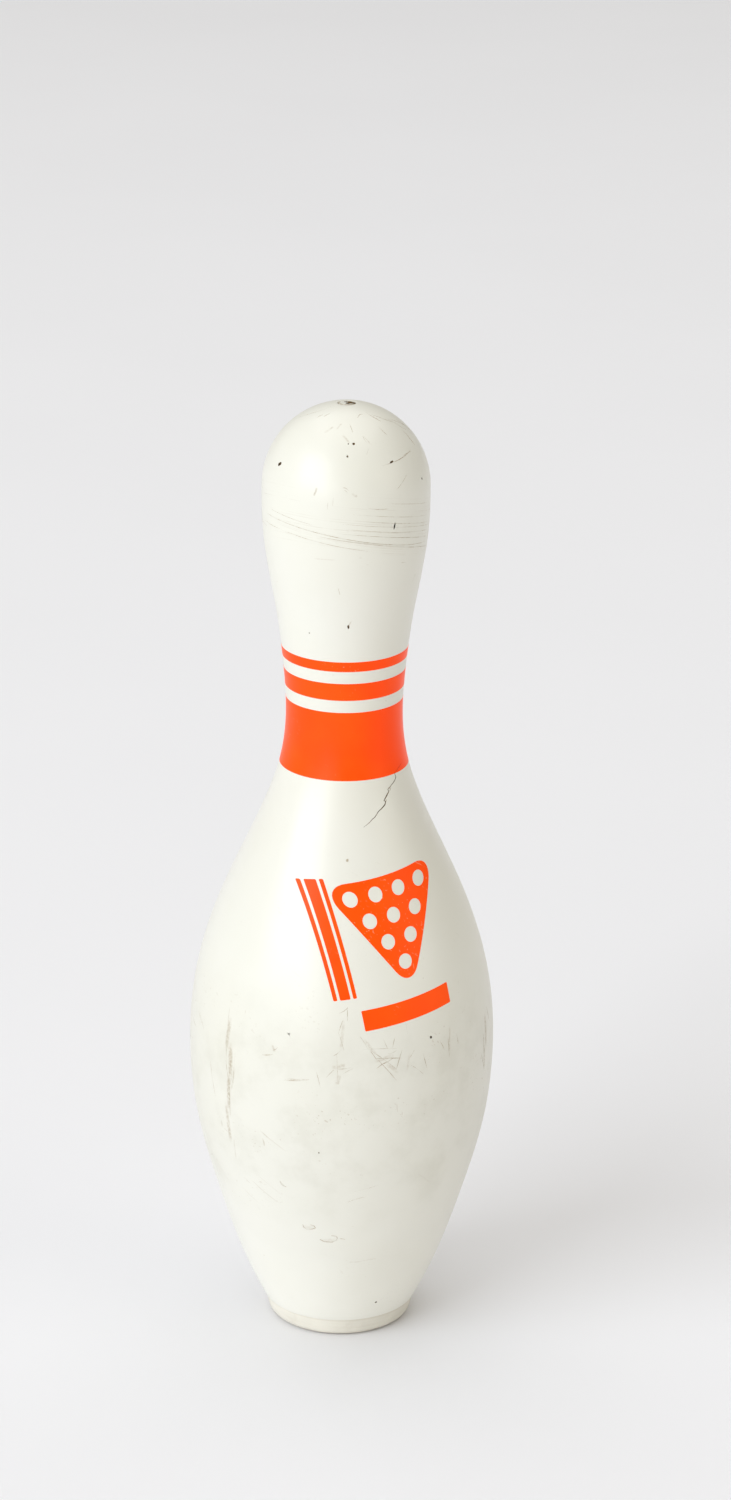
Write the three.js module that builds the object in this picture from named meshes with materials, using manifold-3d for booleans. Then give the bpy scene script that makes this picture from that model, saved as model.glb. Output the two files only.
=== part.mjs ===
// A ten-pin bowling pin, taken apart into its real pieces: a turned body of glued maple staves and wings,
// a moulded plastic coat over it, a base ring under it, a crown plug and the printed marks.
// Millimetres, +Z up. The origin is the centre of the foot, where the pin stands, and the print faces -Y.
import {
  BoxGeometry,
  BufferAttribute,
  BufferGeometry,
  ExtrudeGeometry,
  Group,
  LatheGeometry,
  Mesh,
  MeshStandardMaterial,
  Path,
  Shape,
  Vector2,
} from "three";
import { mergeVertices } from "three/addons/utils/BufferGeometryUtils.js";
import Module from "manifold-3d";

// The outline: height above the floor and diameter at that height, in inches.
const INCH = 25.4;
const STATIONS = [
  [0.16, 2.25],
  [0.75, 2.828],
  [2.25, 3.906],
  [3.375, 4.51],
  [4.5, 4.766],
  [5.875, 4.563],
  [7.25, 3.703],
  [8.625, 2.472],
  [9.375, 1.965],
  [10.0, 1.797],
  [10.875, 1.87],
  [11.75, 2.094],
  [12.625, 2.406],
  [13.5, 2.547],
].map(([height, diameter]) => new Vector2((diameter / 2) * INCH, height * INCH));
const PIN_HEIGHT = 15 * INCH;
const CROWN_RADIUS = STATIONS.at(-1).x;
const CROWN_CENTRE = PIN_HEIGHT - CROWN_RADIUS;

const TURN_SIDES = 40; // flat sides round every turned piece
const OUTSIDE_STEP = 12; // height between the rings of points on the coat's outside
const INSIDE_STEP = 20; // and on the hidden surfaces under it
const CROWN_STEPS = 7; // rings of points over the crown
const GAP = 0.3; // clearance between neighbouring pieces

// The plastic coat.
const COAT_AT_FOOT = 3.2;
const COAT_AT_CROWN = 2.2;
const COAT_LIP_HEIGHT = 8.1;

// The base ring, with a tongue that stands in a groove in the wood.
const RING_INNER_RADIUS = 19;
const RING_FLAT_RADIUS = 25.2;
const RING_EDGE_RADIUS = (5 / 32) * INCH;
const RING_EDGE_TURN = (70 * Math.PI) / 180; // how far round the edge radius goes
const RING_SETBACK = 0.4; // how far the ring's top stands in from the coat's lip
const RING_TONGUE_RADIUS = 22;
const RING_TONGUE_TOP = 15;
const EDGE_STEPS = 4;

// The wood.
const WOOD_FOOT_HEIGHT = 0.8; // the wood stands clear of the floor, on the ring
const CORE_WIDTH = 70;
const STAVE_COUNT = 3;
const SPINDLE_HOLE_RADIUS = 6.75;
const SPINDLE_HOLE_DEPTH = 50;
const POCKET_WIDTH = 18;
const POCKET_DEPTH = 8;
const POCKET_BOTTOM = 85;
const POCKET_TOP = 155;
const WING_REACH = 64; // past the belly's widest radius

// The plug in the lathe centre's hole.
const PLUG_RADIUS = 3.2;
const PLUG_LENGTH = 12;
const PLUG_HOLE_RADIUS = PLUG_RADIUS + GAP;

// The printed films.
const FILM_CLEARANCE = 0.25;
const FILM_THICKNESS = 0.25;
const NECK_PRINTS = [
  { name: "neck_band", bottom: 237, top: 264 },
  { name: "neck_stripe_lower", bottom: 269, top: 276 },
  { name: "neck_stripe_upper", bottom: 281, top: 285 },
];
const MARK_TURN = (24 * Math.PI) / 180; // from the front towards +X
const MARK_LEAN = (7.5 * Math.PI) / 180; // its top leans to the left
const MARK_HEIGHT = 183;
const MARK_SKIN_BOTTOM = 140;
const MARK_SKIN_TOP = 215;
const DECK_ROWS = 4;
const DECK_SPACING = 10;
const DECK_SPOT_RADIUS = 2.8;
const DECK_CORNER_RADIUS = 5.6;
const DECK_SHIFT = 2.2; // of the triangle's middle to the right of the mark's
const DECK_RISE = 0.5; // and above it
const ARC_STEPS = 5; // straight steps in each arc of a printed outline
const PRINT_BARS = [
  { name: "name_bar", x: -0.5, y: -30.5, width: 38, height: 8 },
  { name: "side_stripe_inner", x: -20.6, y: 0, width: 1.4, height: 43 },
  { name: "side_stripe_middle", x: -24.2, y: 0, width: 3.8, height: 43 },
  { name: "side_stripe_outer", x: -27.8, y: 0, width: 1.4, height: 43 },
];

const FINISHES = {
  coat: new MeshStandardMaterial({ color: 0xe9e9df, roughness: 0.35, metalness: 0 }),
  maple: new MeshStandardMaterial({ color: 0xc9a06c, roughness: 0.75, metalness: 0 }),
  ring: new MeshStandardMaterial({ color: 0xd9d2bf, roughness: 0.5, metalness: 0 }),
  plug: new MeshStandardMaterial({ color: 0xcfc9b8, roughness: 0.6, metalness: 0 }),
  print: new MeshStandardMaterial({ color: 0xff4a00, roughness: 0.35, metalness: 0 }),
};

const wasm = await Module();
wasm.setup();

// The slopes of the smooth curve through the stations: free to run straight at the foot, upright at the head.
function stationSlopes(stations) {
  const slopes = stations.map(() => 0);
  const last = stations.length - 1;
  const sweeps = 60;
  const rate = (i) => (stations[i + 1].x - stations[i].x) / (stations[i + 1].y - stations[i].y);
  for (let sweep = 0; sweep < sweeps; sweep += 1) {
    slopes[0] = (3 * rate(0) - slopes[1]) / 2;
    for (let i = 1; i < last; i += 1) {
      const below = stations[i].y - stations[i - 1].y;
      const above = stations[i + 1].y - stations[i].y;
      const pull = 3 * (above * rate(i - 1) + below * rate(i));
      slopes[i] = (pull - above * slopes[i - 1] - below * slopes[i + 1]) / (2 * (below + above));
    }
  }
  return slopes;
}

const SLOPES = stationSlopes(STATIONS);

// The pin's radius at a height between the foot and the crown's centre.
function radiusAt(height) {
  if (height >= STATIONS.at(-1).y) return CROWN_RADIUS;
  const above = Math.max(1, STATIONS.findIndex((station) => station.y > height));
  const [low, high] = [STATIONS[above - 1], STATIONS[above]];
  const span = high.y - low.y;
  const t = (height - low.y) / span;
  return (
    low.x * (1 + 2 * t) * (1 - t) ** 2 +
    high.x * t ** 2 * (3 - 2 * t) +
    span * t * (1 - t) * (SLOPES[above - 1] * (1 - t) - SLOPES[above] * t)
  );
}

// A point of the outline moved in along its normal by a depth.
function insetPoint(height, depth) {
  const reach = 0.01;
  const slope = (radiusAt(height + reach) - radiusAt(height - reach)) / (2 * reach);
  const along = Math.hypot(1, slope);
  return new Vector2(radiusAt(height) - depth / along, height + (depth * slope) / along);
}

function coatThickness(height) {
  return COAT_AT_FOOT + ((COAT_AT_CROWN - COAT_AT_FOOT) * height) / PIN_HEIGHT;
}

// The outline between two heights, moved in by a depth that may change with height.
function outlineBetween(bottom, top, step, depthAt) {
  const count = Math.max(1, Math.round((top - bottom) / step));
  return Array.from({ length: count + 1 }, (_, i) => {
    const height = bottom + ((top - bottom) * i) / count;
    return insetPoint(height, depthAt(height));
  });
}

// The crown's arc, moved in by a depth and ending at the edge of a hole round the axis.
function crownArc(depth, holeRadius) {
  const radius = CROWN_RADIUS - depth;
  const end = Math.acos(holeRadius / radius);
  return Array.from({ length: CROWN_STEPS }, (_, i) => {
    const angle = (end * (i + 1)) / CROWN_STEPS;
    return new Vector2(radius * Math.cos(angle), CROWN_CENTRE + radius * Math.sin(angle));
  });
}

// A solid of revolution about the vertical axis.
function turned(profile) {
  return solidOf(new LatheGeometry(profile, TURN_SIDES).rotateX(Math.PI / 2));
}

// A three.js geometry as a solid that can be cut.
function solidOf(geometry) {
  const bare = new BufferGeometry();
  bare.setAttribute("position", geometry.getAttribute("position"));
  bare.setIndex(geometry.index);
  const merged = mergeVertices(bare, 1e-3);
  const triVerts = merged.index
    ? new Uint32Array(merged.index.array)
    : Uint32Array.from({ length: merged.attributes.position.count }, (_, i) => i);
  const vertProperties = merged.attributes.position.array;
  return new wasm.Manifold(new wasm.Mesh({ numProp: 3, vertProperties, triVerts }));
}

// A block between two corners.
function block(low, high) {
  const size = high.map((value, axis) => value - low[axis]);
  const middle = high.map((value, axis) => (value + low[axis]) / 2);
  return solidOf(new BoxGeometry(...size).translate(...middle));
}

function meshOf(name, solid, finish) {
  const cut = solid.getMesh();
  const geometry = new BufferGeometry();
  geometry.setAttribute("position", new BufferAttribute(cut.vertProperties, cut.numProp));
  geometry.setIndex(new BufferAttribute(cut.triVerts, 1));
  geometry.computeVertexNormals();
  const mesh = new Mesh(geometry, finish);
  mesh.name = name;
  return mesh;
}

// One shell from the lip above the base ring to the edge of the plug's hole.
function coating() {
  const outside = outlineBetween(COAT_LIP_HEIGHT, CROWN_CENTRE, OUTSIDE_STEP, () => 0);
  const inside = outlineBetween(COAT_LIP_HEIGHT, CROWN_CENTRE, INSIDE_STEP, coatThickness);
  inside[0].y = COAT_LIP_HEIGHT;
  const depth = coatThickness(CROWN_CENTRE);
  const outsideWall = [...outside, ...crownArc(0, PLUG_HOLE_RADIUS)];
  const insideWall = [...inside, ...crownArc(depth, PLUG_HOLE_RADIUS)];
  const profile = [...outsideWall, ...insideWall.reverse(), outside[0].clone()];
  return turned(profile);
}

// The whole wooden body as it leaves the lathe, before it is taken apart into staves and wings.
function turnedWood() {
  const underCoat = (height) => coatThickness(height) + GAP;
  const side = outlineBetween(COAT_LIP_HEIGHT, CROWN_CENTRE, INSIDE_STEP, underCoat);
  side[0].y = COAT_LIP_HEIGHT;
  const crown = crownArc(underCoat(CROWN_CENTRE), PLUG_HOLE_RADIUS);
  const holeTop = WOOD_FOOT_HEIGHT + SPINDLE_HOLE_DEPTH;
  const grooveInner = RING_INNER_RADIUS - GAP;
  const grooveOuter = RING_TONGUE_RADIUS + GAP;
  const grooveTop = RING_TONGUE_TOP + GAP;
  const plugFloor = PIN_HEIGHT - PLUG_LENGTH - GAP;
  return turned([
    new Vector2(0, holeTop),
    new Vector2(SPINDLE_HOLE_RADIUS, holeTop),
    new Vector2(SPINDLE_HOLE_RADIUS, WOOD_FOOT_HEIGHT),
    new Vector2(grooveInner, WOOD_FOOT_HEIGHT),
    new Vector2(grooveInner, grooveTop),
    new Vector2(grooveOuter, grooveTop),
    new Vector2(grooveOuter, COAT_LIP_HEIGHT),
    ...side,
    ...crown,
    new Vector2(PLUG_HOLE_RADIUS, plugFloor),
    new Vector2(0, plugFloor),
  ]);
}

// Three full-height staves side by side from front to rear, with a relief pocket in each outer face.
function staves(wood) {
  const half = CORE_WIDTH / 2;
  const pitch = CORE_WIDTH / STAVE_COUNT;
  const names = ["core_stave_front", "core_stave_centre", "core_stave_rear"];
  return names.map((name, i) => {
    const front = -half + i * pitch + (i > 0 ? GAP / 2 : 0);
    const rear = -half + (i + 1) * pitch - (i < STAVE_COUNT - 1 ? GAP / 2 : 0);
    const stave = wood.intersect(block([-half, front, 0], [half, rear, PIN_HEIGHT]));
    if (name === "core_stave_centre") return meshOf(name, stave, FINISHES.maple);
    const face = name === "core_stave_front" ? front : rear;
    const floor = face - Math.sign(face) * POCKET_DEPTH;
    const open = face + Math.sign(face);
    const pocket = block(
      [-POCKET_WIDTH / 2, Math.min(floor, open), POCKET_BOTTOM],
      [POCKET_WIDTH / 2, Math.max(floor, open), POCKET_TOP],
    );
    return meshOf(name, stave.subtract(pocket), FINISHES.maple);
  });
}

// Four blocks round the core, turned down to feather edges above and below the belly.
function wings(wood) {
  const half = CORE_WIDTH / 2;
  const inner = half + GAP;
  const blocks = {
    wing_front: [[-WING_REACH, -WING_REACH, 0], [WING_REACH, -inner, PIN_HEIGHT]],
    wing_rear: [[-WING_REACH, inner, 0], [WING_REACH, WING_REACH, PIN_HEIGHT]],
    wing_left: [[-WING_REACH, -half, 0], [-inner, half, PIN_HEIGHT]],
    wing_right: [[inner, -half, 0], [WING_REACH, half, PIN_HEIGHT]],
  };
  return Object.entries(blocks).map(([name, [low, high]]) =>
    meshOf(name, wood.intersect(block(low, high)), FINISHES.maple),
  );
}

// The plastic ring that the pin stands on.
function baseRing() {
  const top = COAT_LIP_HEIGHT - GAP;
  const edge = Array.from({ length: EDGE_STEPS + 1 }, (_, i) => {
    const angle = (RING_EDGE_TURN * i) / EDGE_STEPS;
    return new Vector2(
      RING_FLAT_RADIUS + RING_EDGE_RADIUS * Math.sin(angle),
      RING_EDGE_RADIUS * (1 - Math.cos(angle)),
    );
  });
  return turned([
    new Vector2(RING_INNER_RADIUS, 0),
    ...edge,
    new Vector2(radiusAt(COAT_LIP_HEIGHT) - RING_SETBACK, top),
    new Vector2(RING_TONGUE_RADIUS, top),
    new Vector2(RING_TONGUE_RADIUS, RING_TONGUE_TOP),
    new Vector2(RING_INNER_RADIUS, RING_TONGUE_TOP),
    new Vector2(RING_INNER_RADIUS, 0),
  ]);
}

// The plug, domed to finish the crown.
function crownPlug() {
  const bottom = PIN_HEIGHT - PLUG_LENGTH;
  const edgeTop = CROWN_CENTRE + Math.sqrt(CROWN_RADIUS ** 2 - PLUG_RADIUS ** 2);
  return turned([
    new Vector2(0, bottom),
    new Vector2(PLUG_RADIUS, bottom),
    new Vector2(PLUG_RADIUS, edgeTop),
    new Vector2(0, PIN_HEIGHT),
  ]);
}

// A thin film round the whole pin, just over the coat.
function filmRing(bottom, top) {
  const count = Math.max(1, Math.round((top - bottom) / OUTSIDE_STEP));
  const heights = Array.from({ length: count + 1 }, (_, i) => bottom + ((top - bottom) * i) / count);
  const inside = heights.map((height) => new Vector2(radiusAt(height) + FILM_CLEARANCE, height));
  const outside = inside.map((point) => new Vector2(point.x + FILM_THICKNESS, point.y));
  return turned([...outside, ...inside.reverse(), outside[0].clone()]);
}

// A printed outline, drawn flat with its middle at the mark's own centre, laid on the skin of film.
function printed(shape, skin) {
  const depth = 2 * WING_REACH;
  const geometry = new ExtrudeGeometry(shape, { depth, bevelEnabled: false, curveSegments: ARC_STEPS });
  geometry.rotateZ(MARK_LEAN).rotateX(Math.PI / 2).translate(0, 0, MARK_HEIGHT).rotateZ(MARK_TURN);
  return skin.intersect(solidOf(geometry));
}

// A round-cornered triangle, point down, with an open spot for each place on the deck.
function deckTriangle() {
  const shape = new Shape();
  const side = (DECK_ROWS - 1) * DECK_SPACING;
  const reach = side / Math.sqrt(3);
  const rowHeight = (DECK_SPACING * Math.sqrt(3)) / 2;
  const lowest = DECK_RISE - ((DECK_ROWS - 1) * rowHeight) / 2;
  const sixth = Math.PI / 3;
  for (let corner = 0; corner < 3; corner += 1) {
    const angle = -Math.PI / 2 + corner * 2 * sixth;
    const x = DECK_SHIFT + reach * Math.cos(angle);
    const y = lowest + reach + reach * Math.sin(angle);
    shape.absarc(x, y, DECK_CORNER_RADIUS, angle - sixth, angle + sixth);
  }
  for (let row = 0; row < DECK_ROWS; row += 1) {
    for (let place = 0; place <= row; place += 1) {
      const spot = new Path();
      const x = DECK_SHIFT + (place - row / 2) * DECK_SPACING;
      spot.absarc(x, lowest + row * rowHeight, DECK_SPOT_RADIUS, 0, 2 * Math.PI);
      shape.holes.push(spot);
    }
  }
  return shape;
}

function bar({ x, y, width, height }) {
  const shape = new Shape();
  const [left, right] = [x - width / 2, x + width / 2];
  const [low, high] = [y - height / 2, y + height / 2];
  shape.moveTo(left, low);
  shape.lineTo(right, low);
  shape.lineTo(right, high);
  shape.lineTo(left, high);
  shape.closePath();
  return shape;
}

function prints() {
  const skin = filmRing(MARK_SKIN_BOTTOM, MARK_SKIN_TOP);
  return [
    ...NECK_PRINTS.map(({ name, bottom, top }) => meshOf(name, filmRing(bottom, top), FINISHES.print)),
    meshOf("deck_triangle", printed(deckTriangle(), skin), FINISHES.print),
    ...PRINT_BARS.map((size) => meshOf(size.name, printed(bar(size), skin), FINISHES.print)),
  ];
}

const wood = turnedWood();
const pin = new Group();
pin.add(
  meshOf("coating", coating(), FINISHES.coat),
  meshOf("base_ring", baseRing(), FINISHES.ring),
  meshOf("crown_plug", crownPlug(), FINISHES.plug),
  ...staves(wood),
  ...wings(wood),
  ...prints(),
);

export default pin;
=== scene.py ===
"""A used ten-pin bowling pin: the moulded coat with its crack, chips and rub marks, the printed bands and
belly mark, the base ring, the crown plug and the maple body, built round the CAD frame and set on a stage.
Lengths are metres, angles radians. Azimuths are measured from the front (-Y) towards +X."""

import math
import random

import bpy
from bpy.props import FloatProperty, FloatVectorProperty, IntProperty, PointerProperty
from mathutils import Matrix, Vector


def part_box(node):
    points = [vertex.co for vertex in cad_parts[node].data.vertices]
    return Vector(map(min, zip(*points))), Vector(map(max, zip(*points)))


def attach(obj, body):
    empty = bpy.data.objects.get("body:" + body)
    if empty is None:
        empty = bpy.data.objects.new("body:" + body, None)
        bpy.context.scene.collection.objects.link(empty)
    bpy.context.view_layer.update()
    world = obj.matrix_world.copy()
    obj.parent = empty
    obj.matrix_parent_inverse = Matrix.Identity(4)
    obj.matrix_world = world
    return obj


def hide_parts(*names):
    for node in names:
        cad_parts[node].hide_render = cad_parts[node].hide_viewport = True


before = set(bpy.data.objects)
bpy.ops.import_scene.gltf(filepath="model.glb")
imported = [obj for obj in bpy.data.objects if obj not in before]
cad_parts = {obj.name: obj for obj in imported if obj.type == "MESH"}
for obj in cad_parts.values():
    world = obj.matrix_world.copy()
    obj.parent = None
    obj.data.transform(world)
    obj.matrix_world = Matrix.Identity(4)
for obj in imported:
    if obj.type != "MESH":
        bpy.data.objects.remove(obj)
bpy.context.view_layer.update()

bl_info = {
    "name": "Used Bowling Pin",
    "version": (1, 0, 0),
    "blender": (4, 5, 0),
    "location": "3D View > Sidebar > Bowling Pin",
    "description": "Builds a worn, plastic-coated maple bowling pin and the stage that it stands on",
    "category": "Add Mesh",
}

BODY = "root"
MM = 0.001
FULL_TURN = 2 * math.pi
RIGHT_ANGLE = math.pi / 2

WOOD_NODES = (
    "core_stave_front",
    "core_stave_centre",
    "core_stave_rear",
    "wing_front",
    "wing_rear",
    "wing_left",
    "wing_right",
)
NECK_NODES = ("neck_band", "neck_stripe_lower", "neck_stripe_upper")
DECK_ROWS = 4
# The plain printed bars, in millimetres: how far the middle lies to the right of the mark's and above it,
# then width and height.
PRINT_BARS = {
    "name_bar": (-0.5, -30.5, 38, 8),
    "side_stripe_inner": (-20.6, 0, 1.4, 43),
    "side_stripe_middle": (-24.2, 0, 3.8, 43),
    "side_stripe_outer": (-27.8, 0, 1.4, 43),
}
PRINT_REACH = 120 * MM  # how far an outline is stood out from the axis to cut the ink
# The saw cuts of the wood, and the relief pockets in the outer staves.
STAVE_REACH = 36 * MM  # faces of a board nearer the axis than this are sawn, and the rest are turned
SAW_REACH = 64 * MM
SAW_TOP = 400 * MM
POCKET_HALF_WIDTH = 9 * MM
POCKET_DEPTH = 8 * MM
POCKET_BOTTOM = 85 * MM
POCKET_TOP = 155 * MM
# Fewest faces that a piece may come out with, below which a cut has gone wrong.
FEWEST_FACES = {"coat": 40000, "print": 50, "maple": 60}
# The stage. The lights are given by place, size, power and colour, and each is turned towards the aim.
AIM = (0, 0, 0.2)
SKY_COLOUR = (1.0, 0.97, 0.885, 1.0)
SKY_STRENGTH = 0.38
SENSOR_HEIGHT = 36
LIGHTS = {
    "key_softbox": ((-6.1, -5.1, 4.2), 6.6, 520, (0.91, 0.955, 1.0)),
    "fill_softbox": ((6.6, -3.1, 2.2), 4.8, 72, (1.0, 0.94, 0.78)),
    "top_softbox": ((0, 1.5, 6.0), 7.0, 176, (1.0, 1.0, 1.0)),
    "low_bounce": ((-2.7, -5.7, 0.9), 3.0, 66, (1.0, 1.0, 1.0)),
}

# Holes knocked into the coat: azimuth in degrees, then height, width, length and depth in millimetres,
# then how far the length leans from upright towards the right, in degrees.
PITS = (
    (-57, 361, 1.3, 2.2, 0.8, 50), (7, 371, 1.0, 1.1, 0.6, 0), (2, 371, 0.5, 0.5, 0.4, 0),
    (1, 367, 0.6, 0.9, 0.4, 10), (37, 364, 0.8, 2.0, 0.6, 70), (65, 355, 0.7, 1.0, 0.5, 0),
    (35, 340, 0.6, 2.8, 0.5, 12), (3, 300, 0.8, 1.7, 0.6, -10), (-31, 296, 0.5, 0.5, 0.3, 0),
    (36, 140, 1.2, 1.0, 0.6, 60), (-20, 144, 0.6, 0.6, 0.3, 0), (-8, 95, 0.6, 0.6, 0.3, 0),
    (25, 17, 1.0, 0.9, 0.5, 0), (132, 352, 1.1, 1.6, 0.6, 30), (-150, 338, 0.8, 1.4, 0.5, -20),
    (166, 366, 1.0, 1.0, 0.6, 0), (-104, 131, 0.9, 1.8, 0.5, 80), (148, 121, 1.4, 1.0, 0.6, 20),
    (-167, 98, 0.8, 1.2, 0.5, 0), (101, 66, 0.7, 0.9, 0.4, 0),
)
# The crack below the neck band: azimuth in degrees, height and half width in millimetres, from its top.
CRACK = (
    (72, 240, 0.06), (62, 239, 0.1), (51.4, 237, 0.12), (52.4, 235.6, 0.18), (50, 234.4, 0.15),
    (45, 233.2, 0.13), (40.3, 232.1, 0.15), (40.9, 231.2, 0.2), (37.6, 229.9, 0.26),
    (34.5, 228.5, 0.17), (35.7, 227.7, 0.2), (34.6, 226.8, 0.24), (28, 224.9, 0.15),
    (24.4, 223.2, 0.14), (20, 221.6, 0.12), (14.7, 219.9, 0.05),
)
# Hollows broken out of the plug's top: azimuth in degrees, then distance from the axis, half width and
# depth in millimetres.
PLUG_HOLLOWS = ((70, 2.0, 1.5, 1.2), (120, 1.2, 1.2, 1.0), (20, 1.4, 1.0, 0.8), (-160, 0.6, 0.9, 0.7))
# Smears and dashes of dirt on the coat: azimuth in degrees, height, half length and half width in
# millimetres, lean from upright towards the right in degrees, and strength.
STROKES = (
    (-47.5, 137, 8, 1.2, 3, 0.38), (-45.5, 126, 9, 1.3, -2, 0.55), (-46.5, 113, 9, 1.1, 4, 0.5),
    (-48, 99, 10, 1.1, -2, 0.42), (-46, 88, 6, 0.5, 5, 0.2), (-44, 119, 6, 0.5, 12, 0.25),
    (71, 131, 8, 1.2, 3, 0.42), (69, 120, 6, 1.0, -3, 0.38), (45, 136, 7, 0.5, 4, 0.3),
    (16.5, 135, 4.5, 0.9, 76, 0.34), (11, 140, 4.5, 0.7, -38, 0.26), (19.5, 130.5, 3.5, 0.8, -52, 0.26),
    (-0.5, 132.5, 3.2, 0.9, 80, 0.28), (-0.8, 127, 2.4, 1.0, 8, 0.3), (0.5, 145, 7, 0.7, 4, 0.22),
    (26, 132, 4, 0.6, 12, 0.2), (-26, 137, 1.8, 0.6, -30, 0.3), (-16, 126, 4.4, 0.35, 86, 0.4),
    (-14, 58.2, 2.8, 1.0, 92, 0.16), (-4.6, 52.5, 4.0, 0.9, 84, 0.18), (-24, 77.8, 1.8, 0.5, -40, 0.22),
    (8, 41, 3.0, 0.3, 90, 0.2), (-21, 354, 1.9, 0.45, 12, 0.5), (-12, 349, 1.6, 0.25, 0, 0.26),
    (6, 353.5, 1.4, 0.5, -60, 0.3), (4, 301, 2.0, 0.4, 24, 0.5), (62, 316, 1.8, 0.3, 28, 0.3),
    (0, 372.5, 2.6, 0.5, -40, 0.3), (-20, 375, 2.4, 0.5, 40, 0.32), (-9, 376, 2.0, 0.4, 30, 0.26),
    (20, 372, 2.4, 0.3, -30, 0.3), (150, 122, 12, 0.9, 4, 0.35), (-135, 112, 11, 0.8, -6, 0.35),
    (-170, 52, 5, 0.9, 88, 0.3), (110, 47, 4, 0.8, 94, 0.28),
)
# Shallow flakes beside the crack and above the foot: the azimuth in degrees and height in millimetres of
# each point on the torn edge.
FLAKES = (
    ((41.1, 232.7), (43.5, 232.1), (42.4, 231.5), (40.9, 231.2)),
    ((34.5, 228.5), (35.6, 229), (37, 228.5), (35.7, 227.7)),
    ((-16.8, 59.1), (-16.4, 57.8), (-15.3, 57), (-12.8, 57.3), (-10.9, 58.1), (-11.5, 59.1), (-13.2, 59.5)),
    ((-9.2, 52.4), (-7.1, 51.4), (-3.3, 51.4), (-1.5, 52.4), (-0.9, 53.5), (-1.5, 54.5), (-3.7, 54.7)),
    ((-24.7, 79.1), (-24.4, 77.6), (-22.4, 76.8)),
)
FLAKE_EDGE = 0.14  # half width of the groove along a torn edge, in millimetres
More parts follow.
